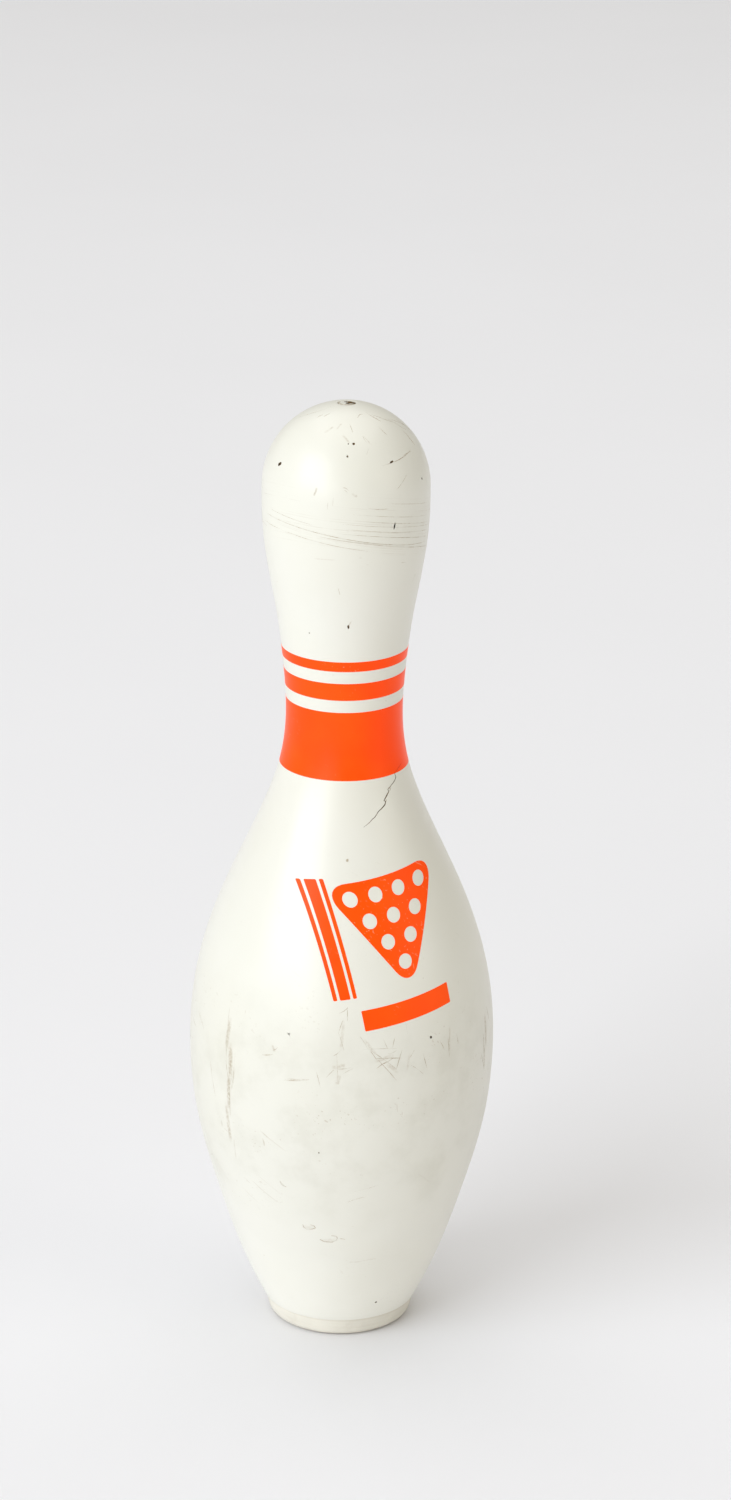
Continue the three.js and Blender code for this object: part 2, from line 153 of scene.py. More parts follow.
# Scratches: the azimuth in degrees and height in millimetres where each starts and ends, then its half
# width in millimetres.
SCRATCHES = (
    # on the head
    (28, 363.2, 63, 366, 0.11), (50, 365, 63, 365.4, 0.07), (37, 354, 48, 358.5, 0.07),
    (15, 348.2, 30, 347.2, 0.11), (-49, 377.4, -45, 378.4, 0.1), (-40, 378, -34, 379.2, 0.11),
    (18, 378.2, 32, 378.9, 0.1), (4, 376.7, 7.2, 374.4, 0.09), (17, 367.4, 20, 369.4, 0.08),
    (41, 375.2, 45, 372.4, 0.09), (17, 373.2, 20, 371, 0.07), (0.5, 367.7, 2.3, 366.4, 0.1),
    (-2, 356.2, 2, 355.2, 0.09), (-1, 355.3, 1.5, 354, 0.08), (43, 324.3, 48, 323.9, 0.08),
    (-8.2, 352.4, -8.6, 349.2, 0.07), (42, 379.2, 52, 376.4, 0.12), (50, 378.4, 76, 374, 0.13),
    (66, 377, 80, 371.2, 0.11), (72, 372.4, 74, 366.4, 0.12), (84, 375, 96, 368, 0.13),
    (70, 376.2, 92, 371.4, 0.09), (-88, 375, -55, 380.2, 0.08), (-5, 316.4, -3.6, 313.4, 0.06),
    # on the belly
    (7.2, 144.4, 10.1, 139.4, 0.11), (10, 139.6, 21, 130, 0.09), (13.2, 135.3, 23.4, 134.2, 0.13),
    (14, 134.5, 21.2, 125, 0.1), (10.8, 138.8, 13.6, 134.3, 0.09), (16, 143, 18, 137.8, 0.07),
    (20.8, 143.2, 19.6, 138.8, 0.08), (8.2, 139.2, 21.4, 138.3, 0.06), (17.8, 136.6, 21.4, 137.8, 0.08),
    (21, 130, 23.4, 137.4, 0.1), (13.2, 131, 17.4, 133.6, 0.09), (15, 132.6, 19.8, 134.8, 0.12),
    (-0.6, 153.6, 2.9, 155.9, 0.08), (2.4, 155.4, 2.5, 150.6, 0.08), (0.8, 151, -1, 145.4, 0.07),
    (-0.7, 145.8, 1.3, 138.8, 0.08), (-2.9, 136.7, 0, 139.1, 0.09), (-2.2, 131.6, 3.6, 132.1, 0.1),
    (-1.5, 137.8, -0.8, 125.2, 0.07), (0.9, 129.5, 4.8, 131.7, 0.09), (-8.9, 129.9, -7.4, 123.5, 0.07),
    (-5.2, 127.9, -2.4, 131.2, 0.08), (-21, 125.1, -11.6, 126.5, 0.11),
    (-30.5, 133.5, -25.8, 134.7, 0.13), (-26.1, 136.4, -24, 138, 0.09),
    (26.4, 133.6, 28.4, 136.5, 0.08), (32.1, 134.3, 33.6, 128.1, 0.09), (27, 130.5, 32.2, 125.7, 0.06),
    (40, 137.8, 42.4, 132.7, 0.08), (44.2, 138, 44.5, 129.3, 0.1), (49, 137.9, 49.7, 133.1, 0.07),
    (68.2, 130.8, 68.7, 121.7, 0.12), (66, 123.1, 69.2, 115, 0.1), (74.2, 139.5, 76.7, 132.5, 0.12),
    (-48.4, 148, -48, 137, 0.08), (-48.1, 137.2, -47.9, 125.8, 0.11), (-48, 126, -45.7, 115.2, 0.1),
    (-45.8, 115.5, -46.4, 102, 0.09), (-43.2, 130.4, -44, 117.2, 0.07),
    (25.2, 150.3, 25.9, 143.4, 0.06), (-58, 122, -55, 108, 0.09), (6, 77, 16, 79.5, 0.05),
    (3.4, 71.8, 10.4, 74, 0.07), (-0.2, 53.1, 2.7, 52.8, 0.14), (11, 41, 19, 41.6, 0.06),
    # round the back
    (96, 139, 108, 127, 0.1), (101, 127, 113, 129, 0.09), (118, 121, 124, 138, 0.1),
    (128, 132, 141, 124, 0.09), (136, 140, 138, 122, 0.08), (152, 131, 166, 127, 0.11),
    (160, 138, 163, 120, 0.09), (171, 117, 184, 125, 0.09), (187, 141, 192, 128, 0.09),
    (196, 122, 209, 120.5, 0.1), (203, 134, 206, 119, 0.09), (216, 128, 229, 137, 0.09),
    (233, 117, 238, 131, 0.08), (246, 132, 258, 129, 0.1), (263, 141, 267, 126, 0.09),
    (274, 121, 284, 124, 0.08), (289, 138, 296, 133, 0.09), (122, 361, 141, 365, 0.09),
    (168, 346, 183, 344, 0.1), (214, 366, 226, 359, 0.08), (252, 349, 268, 351, 0.09),
)
# Arcs rubbed round the head: azimuths in degrees between which each runs, its height in millimetres on
# the axis, how much it rises per metre towards +X and +Y, and its half width in millimetres.
ARCS = (
    (-67, 74, 334.2, -0.186, -0.066, 0.1), (-62, -22, 339.0, -0.142, -0.01, 0.06),
    (-17, 81, 330.0, -0.146, -0.174, 0.09), (-5, 78, 332.0, -0.089, -0.196, 0.075),
    (1, 75, 335.4, -0.1, -0.15, 0.06), (-43, 16, 332.1, -0.176, -0.022, 0.065),
    (5, 74, 341.2, -0.1, -0.16, 0.05), (12, 76, 338.4, -0.1, -0.17, 0.06),
    (-2, 78, 337.0, -0.09, -0.16, 0.05), (30, 72, 345.6, -0.09, -0.18, 0.05),
    (-72, -50, 333.6, -0.1, -0.03, 0.06), (-22, -6, 327.2, 0.0, -0.02, 0.05),
    (84, 128, 331.5, -0.1, -0.12, 0.08), (96, 171, 335.0, -0.08, 0.02, 0.09),
    (140, 232, 332.0, 0.04, 0.08, 0.08), (176, 262, 336.5, 0.1, 0.04, 0.07),
    (239, 291, 333.5, -0.06, 0.0, 0.08),
)


def length(name, description, default, precision=4):
    return FloatProperty(
        name=name, description=description, default=default, precision=precision, subtype="DISTANCE"
    )


def angle(name, description, degrees):
    return FloatProperty(
        name=name, description=description, default=math.radians(degrees), subtype="ANGLE"
    )


def tint(name, description, default):
    return FloatVectorProperty(
        name=name, description=description, default=default, subtype="COLOR", min=0, max=1
    )


class PinShape(bpy.types.PropertyGroup):
    """Sizes of the turned pieces that the frame doesn't give."""

    sides: IntProperty(name="Sides", description="Steps round each turned piece", default=224, min=24)
    row_height: length("Row Height", "Height between rows of points on the coat", 2 * MM)
    coat_at_foot: length("Coat at the Foot", "Thickness of the plastic coat at its lip", 3.2 * MM)
    coat_at_crown: length("Coat at the Crown", "Thickness of the plastic coat over the head", 2.2 * MM)
    edge_radius: length("Edge Radius", "Radius on the foot of the base ring, 5/32 inch", 3.97 * MM)
    hole_radius: length("Spindle Hole Radius", "Radius of the hole up the foot", 6.75 * MM)
    hole_depth: length("Spindle Hole Depth", "Depth of the hole up the foot", 50 * MM)
    gap: length("Gap", "Clearance between neighbouring pieces of wood and plastic", 0.3 * MM, 5)
    softening: length("Softening", "Bevel on the sharp edges of moulded pieces", 0.25 * MM, 5)


class PinPrint(bpy.types.PropertyGroup):
    """Sizes and place of the printed mark on the belly."""

    film: length("Ink Height", "How far the ink stands proud of the coat", 0.05 * MM, 6)
    turn: angle("Turn", "Azimuth of the mark's middle", 24)
    lean: angle("Lean", "How far the mark's top leans to the left", 7.5)
    height: length("Height", "Height of the mark's middle above the floor", 183 * MM)
    deck_shift: length("Deck Shift", "How far the triangle lies to the right of the mark's middle", 2.2 * MM)
    deck_rise: length("Deck Rise", "How far the triangle lies above the mark's middle", 0.5 * MM)
    spot_spacing: length("Spot Spacing", "Distance between neighbouring spots of the triangle", 10 * MM)
    spot_radius: length("Spot Radius", "Radius of each open spot", 2.8 * MM)
    corner_radius: length("Corner Radius", "Radius of the triangle's corners", 5.6 * MM)


class PinColours(bpy.types.PropertyGroup):
    """Base colours of the finishes."""

    coat: tint("Coat", "Warm white of the plastic coat", (0.80, 0.79, 0.72))
    ink: tint("Ink", "Fluorescent orange of the print", (1.0, 0.066, 0.0))
    ring: tint("Base Ring", "Cream of the base ring's plastic", (0.79, 0.76, 0.67))
    maple: tint("Maple", "Hard maple, turned and bare", (0.50, 0.32, 0.16))
    grime: tint("Grime", "Lane oil and rubber dust in the scuffs", (0.33, 0.23, 0.11))


class PinStage(bpy.types.PropertyGroup):
    """The camera and the floor."""

    camera_place: FloatVectorProperty(
        name="Camera Place",
        description="Where the camera stands, from the centre of the foot",
        default=(0.0084, -1.5417, 0.7863),
        subtype="TRANSLATION",
    )
    camera_pitch: angle("Camera Pitch", "How far the camera looks down", 19.48)
    camera_roll: angle("Camera Roll", "How far the camera is turned about its own view", 0.57)
    lens: FloatProperty(
        name="Lens", description="Focal length in millimetres on a sensor 36 mm tall", default=100.4
    )
    floor_radius: length("Floor Radius", "Radius of the floor", 24.0)
    floor_colour: tint("Floor Colour", "Pale grey of the floor", (0.90, 0.90, 0.935))


# ---------------------------------------------------------------- the outline, read off the frame


def radius_of(point):
    return math.hypot(point.x, point.y)


def cad_rings(node):
    """Height and radius of each ring of points on a turned CAD node's outward faces, from the bottom up."""
    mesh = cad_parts[node].data
    found = set()
    for face in mesh.polygons:
        middle = face.center
        outward = (face.normal.x * middle.x + face.normal.y * middle.y) / radius_of(middle)
        if outward > 0.01:
            found.update((mesh.vertices[i].co.z, radius_of(mesh.vertices[i].co)) for i in face.vertices)
    rings = []
    for height, radius in sorted(found):
        if not rings or height - rings[-1][0] > MM / 10:
            rings.append((height, radius))
    return rings


def radii_at(node, height):
    """Smallest and largest radius of a CAD node's points at a height."""
    points = [v.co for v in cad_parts[node].data.vertices]
    radii = [radius_of(point) for point in points if abs(point.z - height) < MM / 20]
    return min(radii), max(radii)


class Outline:
    """The pin's outside: a smooth curve of radius against height up to the head, then the crown's arc."""

    def __init__(self, rings, top):
        self.crown_radius = max(radius for height, radius in rings if height > 0.8 * top)
        self.crown_centre = top - self.crown_radius
        self.rings = [ring for ring in rings if ring[0] < self.crown_centre + MM]
        self.slopes = self.smooth_slopes()

    def smooth_slopes(self):
        """Slopes of the smooth curve through the rings: straight at the foot, upright at the head."""
        rings = self.rings
        slopes = [0.0] * len(rings)
        gaps = [b[0] - a[0] for a, b in zip(rings, rings[1:])]
        rates = [(b[1] - a[1]) / gap for a, b, gap in zip(rings, rings[1:], gaps)]
        for _ in range(60):
            slopes[0] = (3 * rates[0] - slopes[1]) / 2
            for i in range(1, len(rings) - 1):
                pull = 3 * (gaps[i] * rates[i - 1] + gaps[i - 1] * rates[i])
                pull -= gaps[i] * slopes[i - 1] + gaps[i - 1] * slopes[i + 1]
                slopes[i] = pull / (2 * (gaps[i - 1] + gaps[i]))
        return slopes

    def radius(self, height):
        if height >= self.crown_centre:
            rise = min(height - self.crown_centre, self.crown_radius)
            return math.sqrt(self.crown_radius**2 - rise**2)
        above = next((i for i, ring in enumerate(self.rings) if ring[0] > height), len(self.rings) - 1)
        above = max(1, above)
        (low, low_radius), (high, high_radius) = self.rings[above - 1], self.rings[above]
        span = high - low
        t = (height - low) / span
        return (
            low_radius * (1 + 2 * t) * (1 - t) ** 2
            + high_radius * t**2 * (3 - 2 * t)
            + span * t * (1 - t) * (self.slopes[above - 1] * (1 - t) - self.slopes[above] * t)
        )

    def normal(self, height):
        """The outward normal as (outwards, upwards)."""
        reach = MM / 100
        low = min(height, self.crown_centre + 0.99 * self.crown_radius)
        slope = (self.radius(low + reach) - self.radius(low - reach)) / (2 * reach)
        steepness = math.hypot(1, slope)
        return 1 / steepness, -slope / steepness

    def side(self, bottom, top, step, depth_at=lambda height: 0.0):
        """Points (radius, height) from bottom to top, moved in along the normal by a depth."""
        count = max(1, round((top - bottom) / step))
        points = []
        for i in range(count + 1):
            height = bottom + (top - bottom) * i / count
            out, up = self.normal(height)
            depth = depth_at(height)
            points.append((self.radius(height) - depth * out, height - depth * up))
        return points

    def crown(self, hole_radius, steps, depth=0.0):
        """Points over the crown's arc, moved in by a depth, to the edge of a hole round the axis."""
        radius = self.crown_radius - depth
        end = math.acos(hole_radius / radius)
        angles = [end * (i + 1) / steps for i in range(steps)]
        return [(radius * math.cos(a), self.crown_centre + radius * math.sin(a)) for a in angles]

    def spot(self, azimuth, height, lean=0.0):
        """A place on the surface: the point, and a turn whose X runs right, Y inwards and Z up the side,
        leant to the right."""
        out, up = self.normal(height)
        radius = self.radius(height)
        outward = Vector((math.sin(azimuth), -math.cos(azimuth), 0))
        right = Vector((math.cos(azimuth), math.sin(azimuth), 0))
        normal = outward * out + Vector((0, 0, up))
        along = outward * -up + Vector((0, 0, out))
        turn = Matrix((right, -normal, along)).transposed().to_4x4()
        return outward * radius + Vector((0, 0, height)), turn @ Matrix.Rotation(lean, 4, "Y")


OUTLINE = Outline(cad_rings("coating"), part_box("crown_plug")[1].z)
LIP_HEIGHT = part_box("coating")[0].z
CROWN_HOLE = radii_at("coating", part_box("coating")[1].z)[0]


# ---------------------------------------------------------------- modelling helpers


def coat_depth(shape):
    """How thick the coat is at a height."""
    thinning = (shape.coat_at_foot - shape.coat_at_crown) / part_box("crown_plug")[1].z
    return lambda height: shape.coat_at_foot - thinning * height


def start():
    """Leaves edit mode and deselects everything."""
    if bpy.context.object and bpy.context.object.mode != "OBJECT":
        bpy.ops.object.mode_set(mode="OBJECT")
    bpy.ops.object.select_all(action="DESELECT")


def only(piece):
    start()
    piece.select_set(True)
    bpy.context.view_layer.objects.active = piece


def edit(piece):
    """Enters edit mode on one piece, with all of it selected."""
    only(piece)
    bpy.ops.object.mode_set(mode="EDIT")
    bpy.ops.mesh.select_all(action="SELECT")


def leave():
    bpy.ops.object.mode_set(mode="OBJECT")


def named(name):
    piece = bpy.context.object
    piece.name = name
    piece.data.name = name
    return piece


def settle(piece):
    """Puts the piece's place into its mesh."""
    only(piece)
    bpy.ops.object.transform_apply(location=True, rotation=True, scale=True)


def turned(name, profile, sides):
    """A solid of revolution: the profile is drawn from point to point, spun about the axis and closed."""
    start()
    radius, height = profile[0]
    bpy.ops.mesh.primitive_plane_add(size=MM, location=(radius, 0, height))
    piece = named(name)
    settle(piece)
    edit(piece)
    bpy.ops.mesh.merge(type="CENTER")
    for here, there in zip(profile, profile[1:]):
        step = (there[0] - here[0], 0, there[1] - here[1])
        bpy.ops.mesh.extrude_vertices_move(TRANSFORM_OT_translate={"value": step})
    bpy.ops.mesh.select_all(action="SELECT")
    bpy.ops.mesh.spin(steps=sides, angle=FULL_TURN, center=(0, 0, 0), axis=(0, 0, 1))
    bpy.ops.mesh.select_all(action="SELECT")
    bpy.ops.mesh.remove_doubles(threshold=MM / 200)
    bpy.ops.mesh.normals_make_consistent(inside=False)
    leave()
    return piece


def soften(piece, offset, segments=3):
    """Bevels the piece's sharp edges."""
    edit(piece)
    bpy.ops.mesh.select_mode(type="EDGE")
    bpy.ops.mesh.select_all(action="DESELECT")
    bpy.ops.mesh.edges_select_sharp(sharpness=math.radians(50))
    bpy.ops.mesh.bevel(offset=offset, segments=segments, affect="EDGES")
    bpy.ops.mesh.select_mode(type="VERT")
    leave()


def combine(piece, other, operation):
    """Cuts or joins one solid with another, whose faces keep their own material."""
    only(piece)
    bpy.ops.object.modifier_add(type="BOOLEAN")
    modifier = piece.modifiers[-1]
    modifier.operation = operation
    modifier.solver = "EXACT"
    modifier.material_mode = "TRANSFER"
    modifier.object = other
    bpy.ops.object.modifier_apply(modifier=modifier.name)


def disc(name, radius, corners, location=(0, 0, 0), turn=0.0):
    """A flat face with equal sides."""
    start()
    bpy.ops.mesh.primitive_circle_add(
        vertices=corners, radius=radius, fill_type="NGON", location=location, rotation=(0, 0, turn)
    )
    made = named(name)
    settle(made)
    return made


def discard(piece):
    bpy.data.objects.remove(piece, do_unlink=True)


def joined(pieces, name):
    start()
    for piece in pieces:
        piece.select_set(True)
    bpy.context.view_layer.objects.active = pieces[0]
    bpy.ops.object.join()
    return named(name)


def finish_piece(piece, stands_for, smooth_below=35):
    """Shades the piece smooth, puts it on its body and hides the CAD node that it stands for."""
    only(piece)
    bpy.ops.object.shade_smooth_by_angle(angle=math.radians(smooth_below))
    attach(piece, BODY)
    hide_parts(stands_for)
    return piece


def paint(piece, material):
    piece.data.materials.clear()
    piece.data.materials.append(material)


def require_faces(made, kind):
    """Raises an error where a piece came out with too few faces for its kind."""
    if len(made.data.polygons) < FEWEST_FACES[kind]:
        raise RuntimeError(f"{made.name} came out with only {len(made.data.polygons)} faces")


# ---------------------------------------------------------------- material helpers


def put(tree, kind, inputs=None, **settings):
    """Adds a node with its settings, and links its inputs to sockets or gives them values."""
    node = tree.nodes.new("ShaderNode" + kind)
    for key, value in settings.items():
        setattr(node, key, value)
    for key, value in (inputs or {}).items():
        socket = node.inputs[key]
        if isinstance(value, bpy.types.NodeSocket):
            tree.links.new(value, socket)
        else:
            socket.default_value = value
    return node


def calc(tree, operation, *values, clamp=False):
    """A Math node's result."""
    numbered = dict(enumerate(values))
    return put(tree, "Math", numbered, operation=operation, use_clamp=clamp).outputs[0]


def times(tree, first, second):
    return calc(tree, "MULTIPLY", first, second)


def larger(tree, first, *others):
    """The largest of several values."""
    for other in others:
        first = calc(tree, "MAXIMUM", first, other)
    return first


def vector(tree, operation, *values):
    """A Vector Math node's result: its number for a length or a dot product, and otherwise its vector."""
    node = put(tree, "VectorMath", dict(enumerate(values)), operation=operation)
    return node.outputs["Value" if operation in ("DOT_PRODUCT", "LENGTH") else "Vector"]


def ramp(tree, value, low, high, to_low=0.0, to_high=1.0):
    """Carries a value from low to high over to the range to_low to to_high, and holds it there."""
    inputs = {"Value": value, "From Min": low, "From Max": high, "To Min": to_low, "To Max": to_high}
    return put(tree, "MapRange", inputs, interpolation_type="SMOOTHSTEP").outputs["Result"]


def faded(tree, value, low, high):
    """Full up to low, and gone from high on."""
    return ramp(tree, value, low, high, to_low=1.0, to_high=0.0)


def noise(tree, position, scale, detail=3.0, roughness=0.5, distortion=0.0):
    inputs = {
        "Vector": position,
        "Scale": scale,
        "Detail": detail,
        "Roughness": roughness,
        "Distortion": distortion,
    }
    return put(tree, "TexNoise", inputs).outputs["Fac"]


def wandered(tree, position, scale, reach):
    """The position, moved about by noise, so that what is drawn from it wanders."""
    sway = put(tree, "TexNoise", {"Vector": position, "Scale": scale, "Detail": 2.0}).outputs["Color"]
    shift = vector(tree, "SUBTRACT", sway, (0.5, 0.5, 0.5))
    moved = put(tree, "VectorMath", {0: shift, "Scale": reach}, operation="SCALE").outputs["Vector"]
    return vector(tree, "ADD", position, moved)


def blend(tree, share, first, second):
    """Mixes two colours."""
    node = put(tree, "Mix", data_type="RGBA")
    for index, value in ((0, share), (6, first), (7, second)):
        if isinstance(value, bpy.types.NodeSocket):
            tree.links.new(value, node.inputs[index])
        else:
            node.inputs[index].default_value = value
    return node.outputs[2]


def opaque(colour):
    return (*colour, 1.0)


def shade(colour, factor):
    return (*(min(1.0, channel * factor) for channel in colour), 1.0)


MASK = {"Mask": "NodeSocketFloat"}
ORIGIN = (0, 0, 0)


def socket_type(default):
    """The kind of socket that a default value suits: a number, a place or a colour."""
    kinds = {3: "NodeSocketVector", 4: "NodeSocketColor"}
    return kinds[len(default)] if isinstance(default, tuple) else "NodeSocketFloat"


def group(name, inputs, outputs):
    """An empty node group with named inputs and their defaults, and named outputs and their kinds."""
    tree = bpy.data.node_groups.new(name, "ShaderNodeTree")
    for label, default in inputs.items():
        socket = tree.interface.new_socket(label, in_out="INPUT", socket_type=socket_type(default))
        socket.default_value = default
    for label, kind in outputs.items():
        tree.interface.new_socket(label, in_out="OUTPUT", socket_type=kind)
    return tree, tree.nodes.new("NodeGroupInput").outputs, tree.nodes.new("NodeGroupOutput").inputs


def use(tree, made, inputs=None):
    """Places a node group in a tree and gives back its outputs."""
    node = tree.nodes.new("ShaderNodeGroup")
    node.node_tree = made
    for key, value in (inputs or {}).items():
        if isinstance(value, bpy.types.NodeSocket):
            tree.links.new(value, node.inputs[key])
        else:
            node.inputs[key].default_value = value
    return node.outputs


def new_material(name):
    """A material with only its output and a Principled BSDF, its tree, and the position on the piece."""
    material = bpy.data.materials.new(name)
    material.use_nodes = True
    tree = material.node_tree
    shader = next(node for node in tree.nodes if node.type == "BSDF_PRINCIPLED")
    position = put(tree, "TexCoord").outputs["Object"]
    return material, tree, shader, position


def connect(tree, shader, colour=None, roughness=None, height=None, bump=0.1, distance=MM):
    """Feeds the shader its colour, its roughness and the height of a bump."""
    for value, key in ((colour, "Base Color"), (roughness, "Roughness")):
        if value is not None:
            tree.links.new(value, shader.inputs[key])
    if height is not None:
        inputs = {"Height": height, "Strength": bump, "Distance": distance}
        node = put(tree, "Bump", inputs)
        tree.links.new(node.outputs["Normal"], shader.inputs["Normal"])


# ---------------------------------------------------------------- shared effects


def stroke_group():
    """One dragged mark: a tapered stroke about a place, along a direction, broken up by a grain."""
    inputs = {
        "Position": ORIGIN,
        "Place": ORIGIN,
        "Direction": (0, 0, 1),
        "Half Length": 5 * MM,
        "Half Width": 0.3 * MM,
        "Strength": 0.5,
        "Grain": 1.0,
        "Others": 0.0,
    }
    tree, given, result = group("dragged_stroke", inputs, MASK)
    offset = vector(tree, "SUBTRACT", given["Position"], given["Place"])
    along = vector(tree, "DOT_PRODUCT", offset, given["Direction"])
    forward = put(tree, "VectorMath", {0: given["Direction"], "Scale": along}, operation="SCALE")
    across = vector(tree, "LENGTH", vector(tree, "SUBTRACT", offset, forward.outputs["Vector"]))
    far = calc(tree, "DIVIDE", calc(tree, "ABSOLUTE", along), given["Half Length"])
    wide = calc(tree, "DIVIDE", across, given["Half Width"])
    taper = faded(tree, far, 0.45, 1.0)
    body = faded(tree, wide, 0.25, 1.25)
    mask = times(tree, times(tree, taper, body), given["Strength"])
    mask = times(tree, mask, given["Grain"])
    tree.links.new(larger(tree, mask, given["Others"]), result["Mask"])
    return tree


def rub_group():
    """Fine lines run round the pin by the machine's tubes and its neighbours: rings in a tilted band."""
    inputs = {
        "Position": ORIGIN,
        "Tilt": (0, 0, 1),
        "Height": 0.3,
        "Half Band": 10 * MM,
        "Spacing": 1.5 * MM,
        "Cut": 0.6,
    }
    tree, given, result = group("rub_lines", inputs, MASK)
    level = vector(tree, "DOT_PRODUCT", given["Position"], given["Tilt"])
    offset = calc(tree, "SUBTRACT", level, given["Height"])
    wobble = calc(tree, "SUBTRACT", noise(tree, given["Position"], 26.0, 1.0), 0.5)
    bent = calc(tree, "MULTIPLY_ADD", wobble, 2.4 * MM, offset)
    across = calc(tree, "DIVIDE", bent, given["Spacing"])
    lines = put(tree, "TexNoise", {"W": across, "Scale": 1.0, "Detail": 2.0}, noise_dimensions="1D")
    thin = ramp(tree, lines.outputs["Fac"], given["Cut"], calc(tree, "ADD", given["Cut"], 0.09))
    window = faded(tree, calc(tree, "DIVIDE", calc(tree, "ABSOLUTE", offset), given["Half Band"]), 0.3, 1.0)
    patches = ramp(tree, noise(tree, given["Position"], 42.0, 3.0, 0.6), 0.36, 0.58)
    dashes = ramp(tree, noise(tree, given["Position"], 260.0, 2.0, 0.6), 0.3, 0.56)
    mask = times(tree, times(tree, thin, window), patches)
    tree.links.new(times(tree, mask, dashes), result["Mask"])
    return tree


def speck_group():
    """Small dark specks, each in a cell of its own, on a share of the cells."""
    inputs = {"Position": ORIGIN, "Cells": 90.0, "Size": 0.05, "Share": 0.3}
    tree, given, result = group("specks", inputs, MASK)
    moved = wandered(tree, given["Position"], 700.0, 0.9 * MM)
    cells = put(tree, "TexVoronoi", {"Vector": moved, "Scale": given["Cells"]}, feature="F1")
    chance = put(tree, "SeparateColor", {"Color": cells.outputs["Color"]})
    size = times(tree, given["Size"], calc(tree, "ADD", chance.outputs["Green"], 0.3))
    dot = faded(tree, calc(tree, "DIVIDE", cells.outputs["Distance"], size), 0.5, 1.0)
    chosen = calc(tree, "LESS_THAN", chance.outputs["Red"], given["Share"])
    tree.links.new(times(tree, dot, chosen), result["Mask"])
    return tree


def scratch_group():
    """Faint short scratches, all along one direction: noise stretched hard along it."""
    inputs = {"Position": ORIGIN, "Turn": ORIGIN, "Fineness": 900.0, "Stretch": 0.03, "Cut": 0.7}
    tree, given, result = group("scratches", inputs, MASK)
    turning = {"Vector": given["Position"], "Rotation": given["Turn"]}
    turn = put(tree, "VectorRotate", turning, rotation_type="EULER_XYZ")
    squeeze = put(tree, "CombineXYZ", {"X": 1.0, "Y": 1.0, "Z": given["Stretch"]})
    stretched = vector(tree, "MULTIPLY", turn.outputs[0], squeeze.outputs[0])
    lines = noise(tree, stretched, given["Fineness"], 2.0, 0.4)
    thin = ramp(tree, lines, given["Cut"], calc(tree, "ADD", given["Cut"], 0.05))
    patches = ramp(tree, noise(tree, given["Position"], 38.0, 2.0, 0.5), 0.5, 0.68)
    tree.links.new(times(tree, thin, patches), result["Mask"])
    return tree


def window_group():
    """A soft band between two heights."""
    inputs = {"Position": ORIGIN, "Bottom": 0.0, "Top": 0.1, "Fade": 10 * MM}
    tree, given, result = group("height_window", inputs, MASK)
    height = put(tree, "SeparateXYZ", {"Vector": given["Position"]}).outputs["Z"]
    wander = calc(tree, "SUBTRACT", noise(tree, given["Position"], 30.0, 2.0), 0.5)
    height = calc(tree, "MULTIPLY_ADD", wander, given["Fade"], height)
    rise = calc(tree, "DIVIDE", calc(tree, "SUBTRACT", height, given["Bottom"]), given["Fade"], clamp=True)
    fall = calc(tree, "DIVIDE", calc(tree, "SUBTRACT", given["Top"], height), given["Fade"], clamp=True)
    tree.links.new(times(tree, rise, fall), result["Mask"])
    return tree


def maple_group():
    """Straight grain up a board, faint growth rings across it, and short dark flecks."""
    inputs = {
        "Position": ORIGIN,
        "Board": ORIGIN,
        "Light": (0.6, 0.4, 0.2, 1.0),
        "Dark": (0.35, 0.22, 0.1, 1.0),
    }
    outputs = {"Colour": "NodeSocketColor", "Height": "NodeSocketFloat"}
    tree, given, result = group("maple_grain", inputs, outputs)
    board = vector(tree, "ADD", given["Position"], given["Board"])
    along = vector(tree, "MULTIPLY", board, (1.0, 1.0, 0.05))
    fibre = noise(tree, along, 900.0, 4.0, 0.6)
    streak = noise(tree, along, 120.0, 3.0, 0.6, 0.4)
    rings = put(
        tree,
        "TexWave",
        {"Vector": along, "Scale": 95.0, "Distortion": 2.5, "Detail": 2.0, "Detail Scale": 1.5},
        wave_type="RINGS",
        rings_direction="Z",
    ).outputs["Fac"]
    flecks = noise(tree, vector(tree, "MULTIPLY", board, (1.0, 1.0, 0.18)), 620.0, 1.0)
    share = calc(tree, "MULTIPLY_ADD", ramp(tree, streak, 0.3, 0.7), 0.45, 0.0)
    share = calc(tree, "MULTIPLY_ADD", ramp(tree, rings, 0.55, 0.95), 0.3, share)
    share = calc(tree, "MULTIPLY_ADD", ramp(tree, fibre, 0.5, 0.7), 0.25, share)
    share = calc(tree, "MULTIPLY_ADD", ramp(tree, flecks, 0.68, 0.76), 0.35, share, clamp=True)
    tree.links.new(blend(tree, share, given["Light"], given["Dark"]), result["Colour"])
    tree.links.new(fibre, result["Height"])
    return tree


EFFECTS = {}


def build_effects():
    makers = {
        "maple": maple_group,
        "stroke": stroke_group,
        "rub": rub_group,
        "speck": speck_group,
        "scratch": scratch_group,
        "window": window_group,
    }
    EFFECTS.update({name: maker() for name, maker in makers.items()})


# ---------------------------------------------------------------- materials


def height_band(tree, position, bottom, top, fade):
    """A soft band between two heights, in millimetres."""
    inputs = {"Position": position, "Bottom": bottom * MM, "Top": top * MM, "Fade": fade * MM}
    return use(tree, EFFECTS["window"], inputs)["Mask"]


def specks_mask(tree, position, cells, size, share):
    inputs = {"Position": position, "Cells": cells, "Size": size, "Share": share}
    return use(tree, EFFECTS["speck"], inputs)["Mask"]


